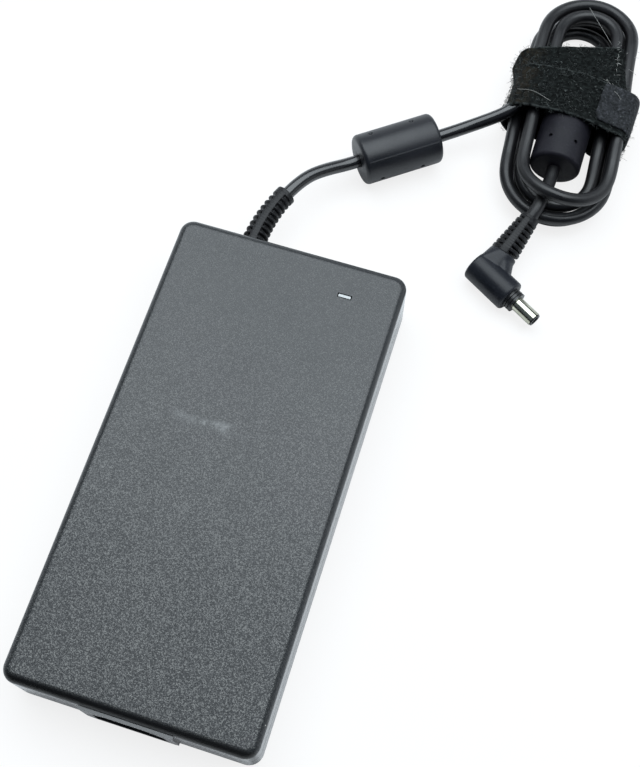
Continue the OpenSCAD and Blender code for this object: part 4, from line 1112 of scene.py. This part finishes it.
def grown(name, host, line, thick, density, lean):
    """Fibres along one curved line, scattered over a piece's faces."""
    fibre = new_piece("loop_fibre", swept_tube("loop_fibre", line, thick, sides=3))
    piece = new_piece(name, host.data.copy())
    grow = piece.modifiers.new("fuzz", "NODES")
    grow.node_group = fuzz
    set_inputs(grow, {"Fibre": fibre, "Density": density, "Lean": lean,
                      "Finish": fuzz_finish})
    settled(piece)
    bpy.data.objects.remove(fibre)
    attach(piece, "root")
    return piece


small_loop = [Vector((0.55 * math.sin(a) ** 2, 0.32 * a, 0.85 * math.sin(a)))
              for a in (math.pi * k / 4 for k in range(5))]
loops_piece = grown("tape_loops", strap, small_loop, thick=0.045, density=420000.0, lean=0.9)
stray = [Vector((0.5 * math.sin(a), 0.15 * a, 1.1 * a)) for a in (0.45 * k for k in range(6))]
strays = grown("tape_strays", strap, stray, thick=0.04, density=36000.0, lean=1.45)

# A few long pale hairs that the hooks have picked up
hair_finish, *_ = plastic("pale_hair", dark=(0.30, 0.30, 0.28), pale=(0.55, 0.55, 0.52),
                          rough=(0.4, 0.5), cloud_size=0.003)
hair_lines = [((59.2, 180.0, 20.9), (65, 179.9, 22.3), (72.6, 176.9, 23.1)),
              ((77.5, 228.5, 18), (83, 220, 20), (89.8, 213.5, 18)),
              ((96, 211, 18), (98.6, 213.6, 17.5), (101.4, 214.6, 16)),
              ((97.4, 209, 18), (99.6, 210.6, 17.6), (101.2, 211.2, 17)),
              ((98.4, 203.6, 18.4), (100.2, 203.4, 18), (101.8, 203.0, 17)),
              ((92, 190, 21.6), (96, 188.6, 22.0), (99.5, 185.6, 20.8))]
# Lint lies along the fold of the tape on the right, and at the end's upper left corner
HAIR_R, LINT, ON_FOLD = 0.055, 26, 19
draw = random.Random(7)
for k in range(LINT):
    share = draw.random()
    if k < ON_FOLD:
        start = Vector((92.3 + 2.0 * share, 213.0 - 16.5 * share, 21.9))
    else:
        start = Vector((90.6 + 3.5 * share, 192.6 - 0.6 * share, 22.6))
    way = draw.uniform(0, 2 * math.pi)
    reach = draw.uniform(0.6, 1.5)
    step = Vector((math.cos(way), math.sin(way), 0)) * reach
    lift = Vector((0, 0, draw.uniform(0.1, 0.5)))
    hair_lines.append((start, start + 0.5 * step + lift, start + step))
strands = bmesh.new()
for line in hair_lines:
    one = swept_tube("hair", through([Vector(p) for p in line], 1.0), HAIR_R, sides=5)
    strands.from_mesh(one)
    bpy.data.meshes.remove(one)
hairs = new_piece("tape_hairs", mesh_of("tape_hairs", strands), hair_finish)
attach(hairs, "root")

for piece in (strap, tab):
    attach(piece, "root")
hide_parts("strap_band")
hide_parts("strap_end_tab")
